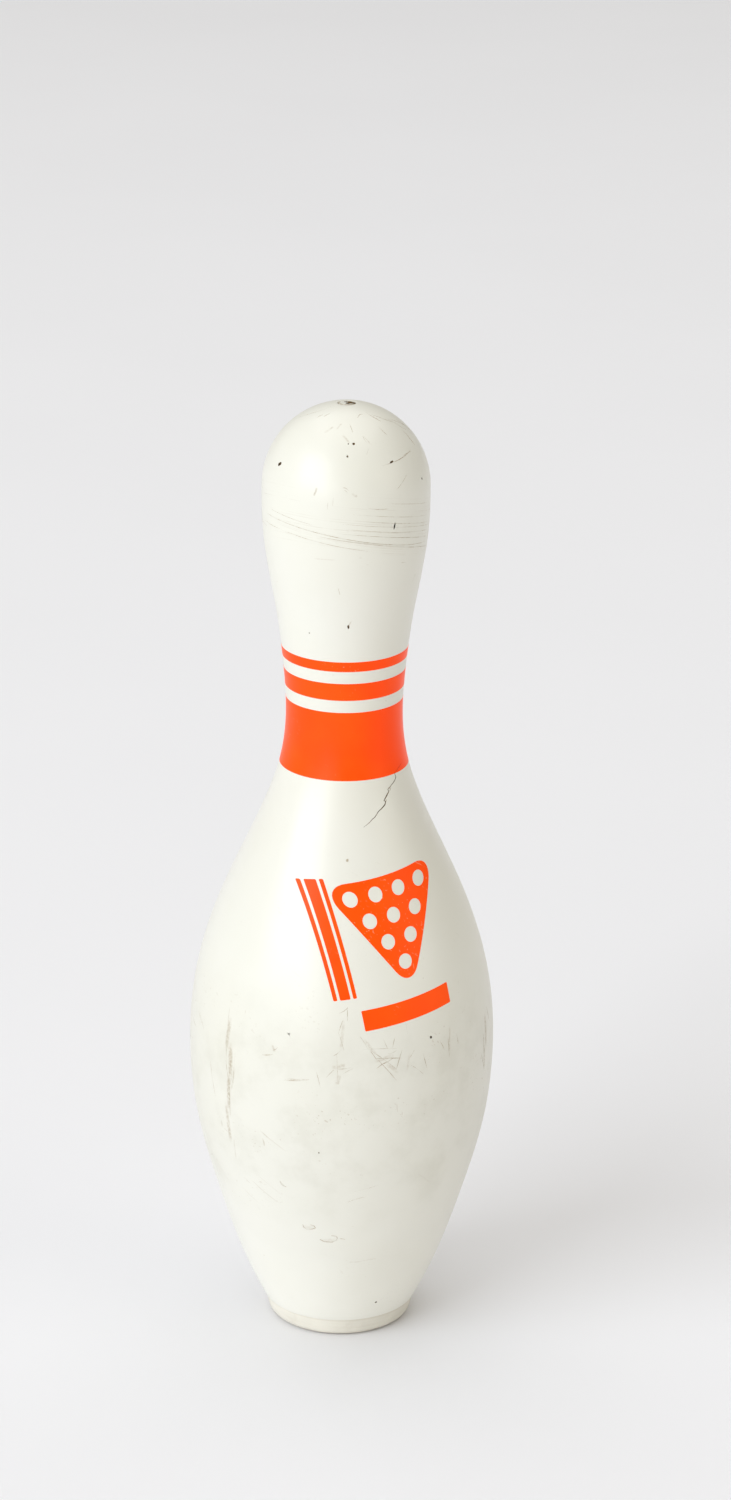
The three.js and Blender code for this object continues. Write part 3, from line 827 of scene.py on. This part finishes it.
def strokes_mask(tree, position):
    """Every placed stroke in one mask."""
    swayed = wandered(tree, position, 160.0, 1.1 * MM)
    grain = ramp(tree, noise(tree, position, 900.0, 3.0, 0.6), 0.36, 0.6, to_low=0.25)
    total = 0.0
    for azimuth, height, half_length, half_width, lean, strength in STROKES:
        place, turn = OUTLINE.spot(math.radians(azimuth), height * MM, math.radians(lean))
        inputs = {
            "Position": swayed,
            "Place": place,
            "Direction": turn @ Vector((0, 0, 1)),
            "Half Length": half_length * MM,
            "Half Width": half_width * MM,
            "Strength": strength,
            "Grain": grain,
            "Others": total,
        }
        total = use(tree, EFFECTS["stroke"], inputs)["Mask"]
    return total


def rub_mask(tree, position):
    """The faint families of rub lines round the head, the crown and the belly."""
    bands = (
        ((0.1, 0.17, 1.0), 337.0, 14.0, 0.8, 0.58, 0.3),
        ((0.19, 0.07, 1.0), 332.0, 4.0, 0.5, 0.54, 0.22),
        ((0.03, -0.02, 1.0), 128.0, 22.0, 1.4, 0.7, 0.2),
    )
    masks = []
    for tilt, height, half_band, spacing, cut, strength in bands:
        inputs = {
            "Position": position,
            "Tilt": tilt,
            "Height": height * MM,
            "Half Band": half_band * MM,
            "Spacing": spacing * MM,
            "Cut": cut,
        }
        masks.append(times(tree, use(tree, EFFECTS["rub"], inputs)["Mask"], strength))
    return larger(tree, *masks)


def scratch_mask(tree, position, strength):
    """Faint scratches in several directions."""
    turns = ((1.35, 0.2, 0), (0.5, 0.9, 0), (-0.7, 0.6, 0), (0.1, 0.1, 0))
    masks = []
    for turn, cut in zip(turns, (0.68, 0.7, 0.7, 0.72)):
        inputs = {"Position": position, "Turn": turn, "Cut": cut}
        masks.append(use(tree, EFFECTS["scratch"], inputs)["Mask"])
    return times(tree, larger(tree, *masks), strength)


def coat_material(colours):
    """Moulded plastic, warm white, semi-gloss, yellowed a little and scuffed, with painted bounce light near
    the foot.
    """
    material, tree, shader, position = new_material("coat_plastic")
    grime = opaque(colours.grime)
    cloud = noise(tree, position, 14.0, 4.0, 0.55)
    mottle = noise(tree, position, 60.0, 4.0, 0.6)
    yellowed = blend(
        tree,
        times(tree, ramp(tree, cloud, 0.35, 0.7), 0.5),
        opaque(colours.coat),
        (0.77, 0.755, 0.66, 1.0),
    )
    belly = height_band(tree, position, 55, 160, 26)
    foot = height_band(tree, position, -40, 45, 30)
    haze = times(tree, ramp(tree, mottle, 0.42, 0.72, to_low=0.3), times(tree, belly, 0.22))
    # Painted light: the coat is painted lighter towards the foot, standing in for light bounced up from the
    # floor.
    bounce_lit_coat = blend(tree, times(tree, foot, 0.9), yellowed, shade(colours.coat, 1.09))
    strokes = strokes_mask(tree, position)
    rubs = rub_mask(tree, position)
    belly_scratches = times(tree, scratch_mask(tree, position, 0.28), calc(tree, "ADD", belly, 0.25))
    specks = specks_mask(tree, position, 62.0, 0.045, 0.16)
    fine_specks = specks_mask(tree, position, 190.0, 0.05, 0.08)
    marks = (times(tree, mask, share) for mask, share in ((rubs, 0.62), (specks, 0.7), (fine_specks, 0.4)))
    dirt = larger(tree, strokes, belly_scratches, *marks)
    colour = blend(tree, haze, bounce_lit_coat, (0.45, 0.43, 0.33, 1.0))
    colour = blend(tree, dirt, colour, grime)
    rough = ramp(tree, cloud, 0.3, 0.75, to_low=0.3, to_high=0.42)
    rough = calc(tree, "MULTIPLY_ADD", larger(tree, dirt, belly_scratches), 0.3, rough)
    ripple = noise(tree, position, 95.0, 2.0, 0.5)
    peel = noise(tree, position, 520.0, 2.0, 0.5)
    height = calc(tree, "MULTIPLY_ADD", peel, 0.1, times(tree, ripple, 0.5))
    height = calc(tree, "MULTIPLY_ADD", specks, -0.5, height)
    connect(tree, shader, colour, rough, height, bump=0.12, distance=0.25 * MM)
    shader.inputs["IOR"].default_value = 1.5
    shader.inputs["Coat Weight"].default_value = 0.2
    shader.inputs["Coat Roughness"].default_value = 0.24
    return material


def wound_material(colours):
    """The inside of chips and the crack: torn plastic packed with dirt."""
    material, tree, shader, position = new_material("torn_plastic")
    grains = noise(tree, position, 1100.0, 4.0, 0.6)
    share = ramp(tree, grains, 0.35, 0.7)
    colour = blend(tree, share, (0.045, 0.026, 0.01, 1.0), (0.27, 0.18, 0.08, 1.0))
    rough = ramp(tree, grains, 0.2, 0.8, to_low=0.7, to_high=0.95)
    connect(tree, shader, colour, rough, grains, bump=0.4, distance=0.1 * MM)
    return material


def scuff_material(colours):
    """The inside of a shallow scratch: plastic with dirt rubbed into parts of it."""
    material, tree, shader, position = new_material("scuffed_plastic")
    packed = ramp(tree, noise(tree, position, 240.0, 4.0, 0.65), 0.38, 0.6, to_low=0.14, to_high=0.92)
    colour = blend(tree, packed, shade(colours.coat, 0.9), (0.34, 0.21, 0.08, 1.0))
    rough = ramp(tree, packed, 0.0, 1.0, to_low=0.5, to_high=0.8)
    connect(tree, shader, colour, rough, packed, bump=0.2, distance=0.05 * MM)
    return material


def ink_material(colours):
    """Fluorescent orange ink with a thin clear gloss and a faint painted glow, worn through in fine
    scratches.
    """
    material, tree, shader, position = new_material("orange_ink")
    cloud = noise(tree, position, 40.0, 3.0, 0.5)
    grain = noise(tree, position, 900.0, 2.0, 0.5)
    ink = colours.ink
    colour = blend(tree, ramp(tree, cloud, 0.3, 0.7), opaque(ink), (ink[0], ink[1] * 1.25, ink[2], 1.0))
    colour = blend(tree, times(tree, ramp(tree, grain, 0.55, 0.75), 0.08), colour, (0.8, 0.04, 0.0, 1.0))
    scratches = scratch_mask(tree, position, 0.35)
    colour = blend(tree, scratches, colour, (0.9, 0.5, 0.32, 1.0))
    specks = specks_mask(tree, position, 110.0, 0.05, 0.12)
    colour = blend(tree, times(tree, specks, 0.6), colour, (0.5, 0.12, 0.04, 1.0))
    rough = ramp(tree, cloud, 0.3, 0.75, to_low=0.3, to_high=0.4)
    height = calc(tree, "MULTIPLY_ADD", scratches, -0.5, times(tree, grain, 0.12))
    connect(tree, shader, colour, rough, height, bump=0.15, distance=0.2 * MM)
    # Painted light: the ink's colour is also fed to emission, so the print glows a little whatever the lamps
    # do.
    tree.links.new(colour, shader.inputs["Emission Color"])
    shader.inputs["Emission Strength"].default_value = 0.16
    shader.inputs["Specular IOR Level"].default_value = 0.15
    return material


def ring_material(colours):
    """Cream nylon, satin, dirty at the joint under the coat."""
    material, tree, shader, position = new_material("ring_nylon")
    cloud = noise(tree, position, 45.0, 4.0, 0.6)
    colour = blend(tree, ramp(tree, cloud, 0.35, 0.7), opaque(colours.ring), shade(colours.ring, 0.92))
    joint = height_band(tree, position, 7.0, 20, 0.9)
    tread = height_band(tree, position, -9, 1.3, 1.2)
    stains = ramp(tree, noise(tree, position, 130.0, 4.0, 0.65), 0.56, 0.74)
    lines = {
        "Position": position,
        "Height": 4 * MM,
        "Half Band": 7 * MM,
        "Spacing": 0.5 * MM,
        "Cut": 0.55,
    }
    rubs = use(tree, EFFECTS["rub"], lines)["Mask"]
    shares = ((joint, 0.12), (stains, 0.1), (tread, 0.45), (rubs, 0.16))
    dirt = larger(tree, *(times(tree, mask, share) for mask, share in shares))
    colour = blend(tree, dirt, colour, opaque(colours.grime))
    rough = ramp(tree, cloud, 0.3, 0.7, to_low=0.42, to_high=0.58)
    height = calc(tree, "MULTIPLY_ADD", dirt, -0.4, times(tree, noise(tree, position, 700.0), 0.3))
    connect(tree, shader, colour, rough, height, bump=0.2, distance=0.2 * MM)
    return material


def plug_material(colours):
    """The same plastic as the coat, duller, with grime round its edge."""
    material, tree, shader, position = new_material("plug_plastic")
    radius = vector(tree, "LENGTH", vector(tree, "MULTIPLY", position, (1, 1, 0)))
    rim = ramp(tree, radius, 2.2 * MM, 3.2 * MM)
    grains = noise(tree, position, 420.0, 4.0, 0.6)
    colour = blend(tree, ramp(tree, grains, 0.4, 0.7), shade(colours.coat, 0.92), shade(colours.coat, 0.68))
    dirt = times(tree, rim, ramp(tree, grains, 0.3, 0.6))
    colour = blend(tree, times(tree, dirt, 0.6), colour, opaque(colours.grime))
    rough = ramp(tree, grains, 0.3, 0.7, to_low=0.45, to_high=0.65)
    connect(tree, shader, colour, rough, grains, bump=0.3, distance=0.15 * MM)
    return material


def maple_material(colours, board):
    """Hard maple for one board: its own length of grain, a little lighter or darker than the next."""
    material, tree, shader, position = new_material(f"hard_maple_{board}")
    maple = colours.maple
    tone = 0.92 + 0.16 * ((board * 5) % 7) / 6
    grain = use(
        tree,
        EFFECTS["maple"],
        {
            "Position": position,
            "Board": (0.06 + 0.013 * board, 0.19 - 0.021 * board, 0.37 * board),
            "Light": shade(maple, 1.3 * tone),
            "Dark": shade(maple, 0.72 * tone),
        },
    )
    foot = height_band(tree, position, -5, 3, 2)
    soil = times(tree, foot, ramp(tree, noise(tree, position, 90.0, 4.0, 0.6), 0.35, 0.7))
    colour = blend(tree, times(tree, soil, 0.6), grain["Colour"], opaque(colours.grime))
    rough = ramp(tree, grain["Height"], 0.3, 0.7, to_low=0.6, to_high=0.85)
    connect(tree, shader, colour, rough, grain["Height"], bump=0.25, distance=0.2 * MM)
    return material


def floor_material(colour):
    """Matt pale board."""
    material, tree, shader, position = new_material("floor_board")
    cloud = noise(tree, position, 3.0, 3.0, 0.5)
    clouded = blend(tree, ramp(tree, cloud, 0.3, 0.7), opaque(colour), shade(colour, 0.99))
    connect(tree, shader, clouded)
    shader.inputs["Roughness"].default_value = 0.6
    return material


MATERIALS = {}


def build_materials(colours):
    makers = {
        "coat": coat_material,
        "wound": wound_material,
        "scuff": scuff_material,
        "ink": ink_material,
        "ring": ring_material,
        "plug": plug_material,
    }
    MATERIALS.update({name: maker(colours) for name, maker in makers.items()})


# ---------------------------------------------------------------- damage


def roughen(lump, offset, seed):
    """Puts the lump's place into its mesh and knocks its points about."""
    settle(lump)
    edit(lump)
    bpy.ops.transform.vertex_random(offset=offset, seed=seed)
    leave()


def pit_cutter(azimuth, height, width, span, depth, lean, seed):
    """A lump that bites one chip out of the surface."""
    place, turn = OUTLINE.spot(math.radians(azimuth), height * MM, math.radians(lean))
    start()
    bpy.ops.mesh.primitive_ico_sphere_add(subdivisions=2, radius=1.0)
    lump = named("chip")
    size = Matrix.Diagonal((width / 2 * MM, depth * MM, span / 2 * MM, 1.0))
    lump.matrix_world = Matrix.Translation(place) @ turn @ size
    roughen(lump, 0.16 * width * MM, seed)
    return lump


def groove_cutter(name, stations):
    """A thin tube along the surface, from stations of azimuth in degrees, height and half width."""
    line = bpy.data.curves.new(name, "CURVE")
    line.dimensions = "3D"
    line.bevel_depth = 1.0
    line.bevel_resolution = 1
    line.use_fill_caps = True
    path = line.splines.new("POLY")
    path.points.add(len(stations) - 1)
    for point, (azimuth, height, half_width) in zip(path.points, stations):
        place, _ = OUTLINE.spot(math.radians(azimuth), height * MM)
        point.co = (*place, 1.0)
        point.radius = half_width * MM
    tube = bpy.data.objects.new(name, line)
    bpy.context.scene.collection.objects.link(tube)
    only(tube)
    bpy.ops.object.convert(target="MESH")
    return named(name)


def crack_cutter():
    """The crack: a jagged groove, with a shaken point between each two given ones."""
    random.seed(5)
    stations = []
    for here, there in zip(CRACK, CRACK[1:]):
        for share in (0.0, 0.5):
            shake = random.uniform(-0.15, 0.15)
            azimuth, height, half_width = (a + (b - a) * share for a, b in zip(here, there))
            stations.append((azimuth + shake, height + shake, half_width))
    return groove_cutter("crack", [*stations, CRACK[-1]])


def scratch_cutter(from_azimuth, from_height, to_azimuth, to_height, half_width):
    """A scratch: a groove with one slight bow, tapered at both ends."""
    steps = 8
    bow = 0.35 * math.sin(from_azimuth + to_height)
    stations = []
    for i in range(steps + 1):
        share = i / steps
        swell = max(0.0, math.sin(math.pi * share))
        azimuth = from_azimuth + (to_azimuth - from_azimuth) * share
        height = from_height + (to_height - from_height) * share + bow * swell
        stations.append((azimuth, height, half_width * (0.25 + 0.75 * swell)))
    return groove_cutter("scratch", stations)


def arc_cutter(from_azimuth, to_azimuth, axis_height, rise_x, rise_y, half_width):
    """An arc rubbed round the head in a tilted plane, tapered at both ends."""
    steps = max(6, round((to_azimuth - from_azimuth) / 4))
    stations = []
    for i in range(steps + 1):
        azimuth = from_azimuth + (to_azimuth - from_azimuth) * i / steps
        turn = math.radians(azimuth)
        reach = OUTLINE.radius(axis_height * MM) / MM
        height = axis_height + reach * (rise_x * math.sin(turn) - rise_y * math.cos(turn))
        swell = math.sqrt(max(0.0, math.sin(math.pi * i / steps)))
        stations.append((azimuth, height, half_width * (0.2 + 0.8 * swell)))
    return groove_cutter("arc", stations)


def flake_cutter(edge):
    """The torn edge of a shallow flake: a groove along its points."""
    return groove_cutter("flake", [(azimuth, height, FLAKE_EDGE) for azimuth, height in edge])


def merged(pieces):
    """One solid out of many that may cross each other."""
    first, *others = pieces
    for other in others:
        combine(first, other, "UNION")
        discard(other)
    return first


def gouges():
    """All the chips and the crack as one set of cutters."""
    lumps = [pit_cutter(*pit, seed=number) for number, pit in enumerate(PITS)]
    cutter = joined([crack_cutter(), *lumps], "gouges")
    paint(cutter, MATERIALS["wound"])
    return cutter


def scuffs():
    """All the scratches, rubbed arcs and flakes as one set of cutters."""
    grooves = [scratch_cutter(*scratch) for scratch in SCRATCHES]
    grooves += [arc_cutter(*arc) for arc in ARCS]
    grooves += [flake_cutter(edge) for edge in FLAKES]
    cutter = merged(grooves)
    paint(cutter, MATERIALS["scuff"])
    return cutter


# ---------------------------------------------------------------- print, wood and stage helpers


def ink_skin(name, bottom, top, shape, film):
    """A thin closed skin on the coat between two heights, all the way round."""
    out = OUTLINE.side(bottom, top, shape.row_height, lambda height: -film)
    under = OUTLINE.side(bottom, top, shape.row_height, lambda height: film)
    return turned(name, [*out, *reversed(under), out[0]], shape.sides)


def prism_from(piece, ink, depth=PRINT_REACH):
    """Extrudes a flat outline and stands it out from the axis through the mark's place."""
    edit(piece)
    bpy.ops.mesh.extrude_region_move(TRANSFORM_OT_translate={"value": (0, 0, depth)})
    bpy.ops.mesh.select_all(action="SELECT")
    bpy.ops.mesh.normals_make_consistent(inside=False)
    leave()
    lean = Matrix.Rotation(ink.lean, 4, "Z")
    upright = Matrix.Rotation(RIGHT_ANGLE, 4, "X")
    turn = Matrix.Rotation(ink.turn, 4, "Z")
    piece.matrix_world = turn @ Matrix.Translation((0, 0, ink.height)) @ upright @ lean
    settle(piece)


def round_corners(piece, offset, segments):
    """Rounds the corners of a flat outline."""
    edit(piece)
    bpy.ops.mesh.bevel(offset=offset, segments=segments, affect="VERTICES")
    leave()


def printed_mark(node, outline, settings, holes=None):
    """The ink of one mark: a skin on the coat, kept inside an outline and outside its holes."""
    low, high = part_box(node)
    margin = 3 * MM
    shape, film = settings.pin_shape, settings.pin_print.film
    mark = ink_skin(node + "_ink", low.z - margin, high.z + margin, shape, film)
    for cutter, operation in ((outline, "INTERSECT"), (holes, "DIFFERENCE")):
        if cutter:
            combine(mark, cutter, operation)
            discard(cutter)
    require_faces(mark, "print")
    paint(mark, MATERIALS["ink"])
    finish_piece(mark, node)


def turned_wood(shape):
    """The whole wooden body as it leaves the lathe, before it is taken apart."""
    top = OUTLINE.crown_centre
    coat_at = coat_depth(shape)
    side = OUTLINE.side(LIP_HEIGHT, top, 6 * MM, lambda height: coat_at(height) + shape.gap)
    side[0] = (side[0][0], LIP_HEIGHT)
    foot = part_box("core_stave_centre")[0].z
    hole_top = foot + shape.hole_depth
    groove_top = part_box("base_ring")[1].z + shape.gap
    groove_inner = radii_at("base_ring", 0.0)[0] - shape.gap
    groove_outer = radii_at("base_ring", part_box("base_ring")[1].z)[1] + shape.gap
    plug_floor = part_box("crown_plug")[0].z - shape.gap
    profile = [
        (0.0, hole_top),
        (shape.hole_radius, hole_top),
        (shape.hole_radius, foot),
        (groove_inner, foot),
        (groove_inner, groove_top),
        (groove_outer, groove_top),
        (groove_outer, LIP_HEIGHT),
        *side,
        *OUTLINE.crown(CROWN_HOLE, 14, coat_at(top) + shape.gap),
        (CROWN_HOLE, plug_floor),
        (0.0, plug_floor),
    ]
    return turned("maple_body", profile, 128)


def block(low, high):
    """A plain block between two corners."""
    low, high = Vector(low), Vector(high)
    start()
    bpy.ops.mesh.primitive_cube_add(size=1.0, location=(low + high) / 2)
    made = named("block")
    made.scale = high - low
    settle(made)
    return made


def saw_cut(face, past):
    """Where a board is cut: at its own flat face, or past the turned outside."""
    return face if abs(face) < STAVE_REACH else past


def relief_pocket(face):
    """The pocket let into a stave's outer face."""
    ends = sorted((face - math.copysign(POCKET_DEPTH, face), face + math.copysign(MM, face)))
    return block(
        (-POCKET_HALF_WIDTH, ends[0], POCKET_BOTTOM), (POCKET_HALF_WIDTH, ends[1], POCKET_TOP)
    )


def hang_light(name, place, size, power, colour):
    """A square soft light, turned towards the aim."""
    start()
    bpy.ops.object.light_add(type="AREA", location=place)
    light = named(name)
    light.rotation_euler = (Vector(AIM) - Vector(place)).to_track_quat("-Z", "Y").to_euler()
    light.data.size = size
    light.data.energy = power
    light.data.color = colour


# ---------------------------------------------------------------- operators


class BOWLING_PIN_OT_prepare(bpy.types.Operator):
    """Build the shared effects and the finishes"""

    bl_idname = "bowling_pin.prepare"
    bl_label = "Prepare Finishes"

    def execute(self, context):
        build_effects()
        build_materials(context.scene.pin_colours)
        return {"FINISHED"}


class BOWLING_PIN_OT_coat(bpy.types.Operator):
    """Turn the plastic coat, soften its lip and crown hole, and knock the chips and the crack into it"""

    bl_idname = "bowling_pin.coat"
    bl_label = "Coat"

    def execute(self, context):
        shape = context.scene.pin_shape
        top = OUTLINE.crown_centre
        inside_step = 12 * MM
        depth_at = coat_depth(shape)
        outside = OUTLINE.side(LIP_HEIGHT, top, shape.row_height) + OUTLINE.crown(CROWN_HOLE, 36)
        inside = OUTLINE.side(LIP_HEIGHT, top, inside_step, depth_at)
        inside[0] = (inside[0][0], LIP_HEIGHT)
        inside += OUTLINE.crown(CROWN_HOLE, 10, depth_at(top))
        coat = turned("coat", [*outside, *reversed(inside), outside[0]], shape.sides)
        soften(coat, shape.softening)
        paint(coat, MATERIALS["coat"])
        for damage in (scuffs(), gouges()):
            combine(coat, damage, "DIFFERENCE")
            discard(damage)
        require_faces(coat, "coat")
        finish_piece(coat, "coating")
        return {"FINISHED"}


class BOWLING_PIN_OT_base_ring(bpy.types.Operator):
    """Turn the base ring with its tongue and rounded foot, and soften its edges"""

    bl_idname = "bowling_pin.base_ring"
    bl_label = "Base Ring"

    def execute(self, context):
        shape = context.scene.pin_shape
        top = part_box("base_ring")[1].z
        inner, flat = radii_at("base_ring", 0.0)
        tongue = radii_at("base_ring", top)[1]
        widest = max((v.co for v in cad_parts["base_ring"].data.vertices), key=radius_of)
        outer, shoulder = radius_of(widest), LIP_HEIGHT - 0.05 * MM
        steps = 10
        sweep = math.radians(70)
        angles = [sweep * i / steps for i in range(steps + 1)]
        edge = shape.edge_radius
        profile = [(inner, 0.0)]
        profile += [(flat + edge * math.sin(a), edge * (1 - math.cos(a))) for a in angles]
        profile += [(outer, shoulder), (tongue, shoulder), (tongue, top), (inner, top), (inner, 0.0)]
        ring = turned("base_ring_nylon", profile, shape.sides)
        soften(ring, 0.4 * shape.softening)
        paint(ring, MATERIALS["ring"])
        finish_piece(ring, "base_ring")
        return {"FINISHED"}


class BOWLING_PIN_OT_crown_plug(bpy.types.Operator):
    """Turn the crown plug and break a hollow out of its top"""

    bl_idname = "bowling_pin.crown_plug"
    bl_label = "Crown Plug"

    def execute(self, context):
        low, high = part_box("crown_plug")
        radius = high.x
        steps = 8
        end = math.acos(radius / OUTLINE.crown_radius)
        angles = [end + (RIGHT_ANGLE - end) * i / steps for i in range(steps + 1)]
        dome = OUTLINE.crown_radius
        profile = [(0.0, low.z), (radius, low.z)]
        profile += [(dome * math.cos(a), OUTLINE.crown_centre + dome * math.sin(a)) for a in angles[:-1]]
        profile += [(0.0, high.z)]
        plug = turned("crown_plug_cap", profile, 72)
        soften(plug, 0.12 * MM, 2)
        paint(plug, MATERIALS["plug"])
        lumps = []
        for number, (azimuth, out, width, depth) in enumerate(PLUG_HOLLOWS):
            start()
            turn = math.radians(azimuth)
            place = (out * MM * math.sin(turn), -out * MM * math.cos(turn), high.z)
            size = (width * MM, 0.8 * width * MM, depth * MM)
            bpy.ops.mesh.primitive_ico_sphere_add(subdivisions=2, radius=1.0, location=place, scale=size)
            lump = named("hollow")
            roughen(lump, 0.25 * MM, number + 3)
            paint(lump, MATERIALS["wound"])
            lumps.append(lump)
        for lump in lumps:
            combine(plug, lump, "DIFFERENCE")
            discard(lump)
        finish_piece(plug, "crown_plug")
        return {"FINISHED"}


class BOWLING_PIN_OT_neck_print(bpy.types.Operator):
    """Wrap the printed band and stripes round the neck, and open the band over the crack"""

    bl_idname = "bowling_pin.neck_print"
    bl_label = "Neck Print"

    def execute(self, context):
        shape, ink = context.scene.pin_shape, context.scene.pin_print
        for node in NECK_NODES:
            low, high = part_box(node)
            band = ink_skin(node + "_ink", low.z, high.z, shape, ink.film)
            paint(band, MATERIALS["ink"])
            if node == "neck_band":
                crack = crack_cutter()
                paint(crack, MATERIALS["wound"])
                combine(band, crack, "DIFFERENCE")
                discard(crack)
            finish_piece(band, node)
        return {"FINISHED"}


class BOWLING_PIN_OT_deck_mark(bpy.types.Operator):
    """Print the deck triangle: a round-cornered triangle, point down, with its open spots"""

    bl_idname = "bowling_pin.deck_mark"
    bl_label = "Deck Triangle"

    def execute(self, context):
        ink = context.scene.pin_print
        row_height = ink.spot_spacing * math.sqrt(3) / 2
        lowest = ink.deck_rise - (DECK_ROWS - 1) * row_height / 2
        reach = (DECK_ROWS - 1) * ink.spot_spacing / math.sqrt(3)
        sharp_reach = reach + 2 * ink.corner_radius
        middle = (ink.deck_shift, lowest + reach, 0)
        triangle = disc("deck_outline", sharp_reach, 3, middle, turn=math.pi)
        round_corners(triangle, ink.corner_radius * math.sqrt(3), 10)
        prism_from(triangle, ink)
        spots = []
        for row in range(DECK_ROWS):
            for place in range(row + 1):
                x = ink.deck_shift + (place - row / 2) * ink.spot_spacing
                y = lowest + row * row_height
                spot = disc("spot", ink.spot_radius, 40, (x, y, 0))
                prism_from(spot, ink, depth=PRINT_REACH + 10 * MM)
                spots.append(spot)
        printed_mark("deck_triangle", triangle, context.scene, joined(spots, "spots"))
        return {"FINISHED"}


class BOWLING_PIN_OT_bar_marks(bpy.types.Operator):
    """Print the plain bar under the triangle and the stripes beside it"""

    bl_idname = "bowling_pin.bar_marks"
    bl_label = "Bar and Stripes"

    def execute(self, context):
        for node, (x, y, width, height) in PRINT_BARS.items():
            start()
            bpy.ops.mesh.primitive_plane_add(size=MM, location=(x * MM, y * MM, 0))
            bar = named("bar")
            bar.scale = (width, height, 1)
            settle(bar)
            round_corners(bar, 0.4 * MM, 4)
            prism_from(bar, context.scene.pin_print)
            printed_mark(node, bar, context.scene)
        return {"FINISHED"}


class BOWLING_PIN_OT_wood(bpy.types.Operator):
    """Turn the maple body and saw it into its staves and wings, with the relief pockets"""

    bl_idname = "bowling_pin.wood"
    bl_label = "Maple Staves and Wings"

    def execute(self, context):
        shape = context.scene.pin_shape
        body = turned_wood(shape)
        for number, node in enumerate(WOOD_NODES):
            low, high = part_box(node)
            sawn = block(
                [saw_cut(low.x, -SAW_REACH), saw_cut(low.y, -SAW_REACH), 0],
                [saw_cut(high.x, SAW_REACH), saw_cut(high.y, SAW_REACH), SAW_TOP],
            )
            only(body)
            bpy.ops.object.duplicate()
            piece = named(node + "_maple")
            combine(piece, sawn, "INTERSECT")
            discard(sawn)
            if node in ("core_stave_front", "core_stave_rear"):
                pocket = relief_pocket(low.y if node == "core_stave_front" else high.y)
                combine(piece, pocket, "DIFFERENCE")
                discard(pocket)
            require_faces(piece, "maple")
            paint(piece, maple_material(context.scene.pin_colours, number))
            finish_piece(piece, node)
        discard(body)
        return {"FINISHED"}


class BOWLING_PIN_OT_stage(bpy.types.Operator):
    """Lay the floor, hang the lights and stand the camera"""

    bl_idname = "bowling_pin.stage"
    bl_label = "Stage"

    def execute(self, context):
        stage = context.scene.pin_stage
        floor = disc("floor", stage.floor_radius, 96, (0, 0, -0.02 * MM))
        paint(floor, floor_material(stage.floor_colour))
        world = bpy.data.worlds.new("studio")
        world.use_nodes = True
        background = world.node_tree.nodes["Background"]
        background.inputs["Color"].default_value = SKY_COLOUR
        background.inputs["Strength"].default_value = SKY_STRENGTH
        context.scene.world = world
        context.scene.view_settings.view_transform = "Standard"
        for name, light in LIGHTS.items():
            hang_light(name, *light)
        bpy.ops.object.camera_add(location=stage.camera_place)
        camera = named("stage_camera")
        camera.data.lens = stage.lens
        camera.data.sensor_width = SENSOR_HEIGHT
        tilt = Matrix.Rotation(RIGHT_ANGLE - stage.camera_pitch, 4, "X")
        roll = Matrix.Rotation(stage.camera_roll, 4, "Z")
        camera.matrix_world = Matrix.Translation(stage.camera_place) @ tilt @ roll
        camera.data.clip_end = 100
        context.scene.camera = camera
        return {"FINISHED"}


class BOWLING_PIN_PT_panel(bpy.types.Panel):
    """The pieces of the pin, in the order that they are built"""

    bl_idname = "BOWLING_PIN_PT_panel"
    bl_label = "Bowling Pin"
    bl_space_type = "VIEW_3D"
    bl_region_type = "UI"
    bl_category = "Bowling Pin"

    def draw(self, context):
        for operator in OPERATORS:
            self.layout.operator(operator.bl_idname)
        for settings in scene_settings(context.scene):
            box = self.layout.box()
            for name in settings.bl_rna.properties.keys():
                if name not in ("rna_type", "name"):
                    box.prop(settings, name)


OPERATORS = (
    BOWLING_PIN_OT_prepare,
    BOWLING_PIN_OT_coat,
    BOWLING_PIN_OT_base_ring,
    BOWLING_PIN_OT_crown_plug,
    BOWLING_PIN_OT_neck_print,
    BOWLING_PIN_OT_deck_mark,
    BOWLING_PIN_OT_bar_marks,
    BOWLING_PIN_OT_wood,
    BOWLING_PIN_OT_stage,
)
SETTINGS = {
    "pin_shape": PinShape,
    "pin_print": PinPrint,
    "pin_colours": PinColours,
    "pin_stage": PinStage,
}


def scene_settings(scene):
    return [getattr(scene, name) for name in SETTINGS]


def register():
    for name, settings in SETTINGS.items():
        bpy.utils.register_class(settings)
        setattr(bpy.types.Scene, name, PointerProperty(type=settings))
    for operator in OPERATORS:
        bpy.utils.register_class(operator)
    bpy.utils.register_class(BOWLING_PIN_PT_panel)


def unregister():
    bpy.utils.unregister_class(BOWLING_PIN_PT_panel)
    for operator in reversed(OPERATORS):
        bpy.utils.unregister_class(operator)
    for name, settings in SETTINGS.items():
        delattr(bpy.types.Scene, name)
        bpy.utils.unregister_class(settings)


def main():
    register()
    bpy.ops.bowling_pin.prepare()
    bpy.ops.bowling_pin.coat()
    bpy.ops.bowling_pin.base_ring()
    bpy.ops.bowling_pin.crown_plug()
    bpy.ops.bowling_pin.neck_print()
    bpy.ops.bowling_pin.deck_mark()
    bpy.ops.bowling_pin.bar_marks()
    bpy.ops.bowling_pin.wood()
    bpy.ops.bowling_pin.stage()


if __name__ == "__main__":
    main()
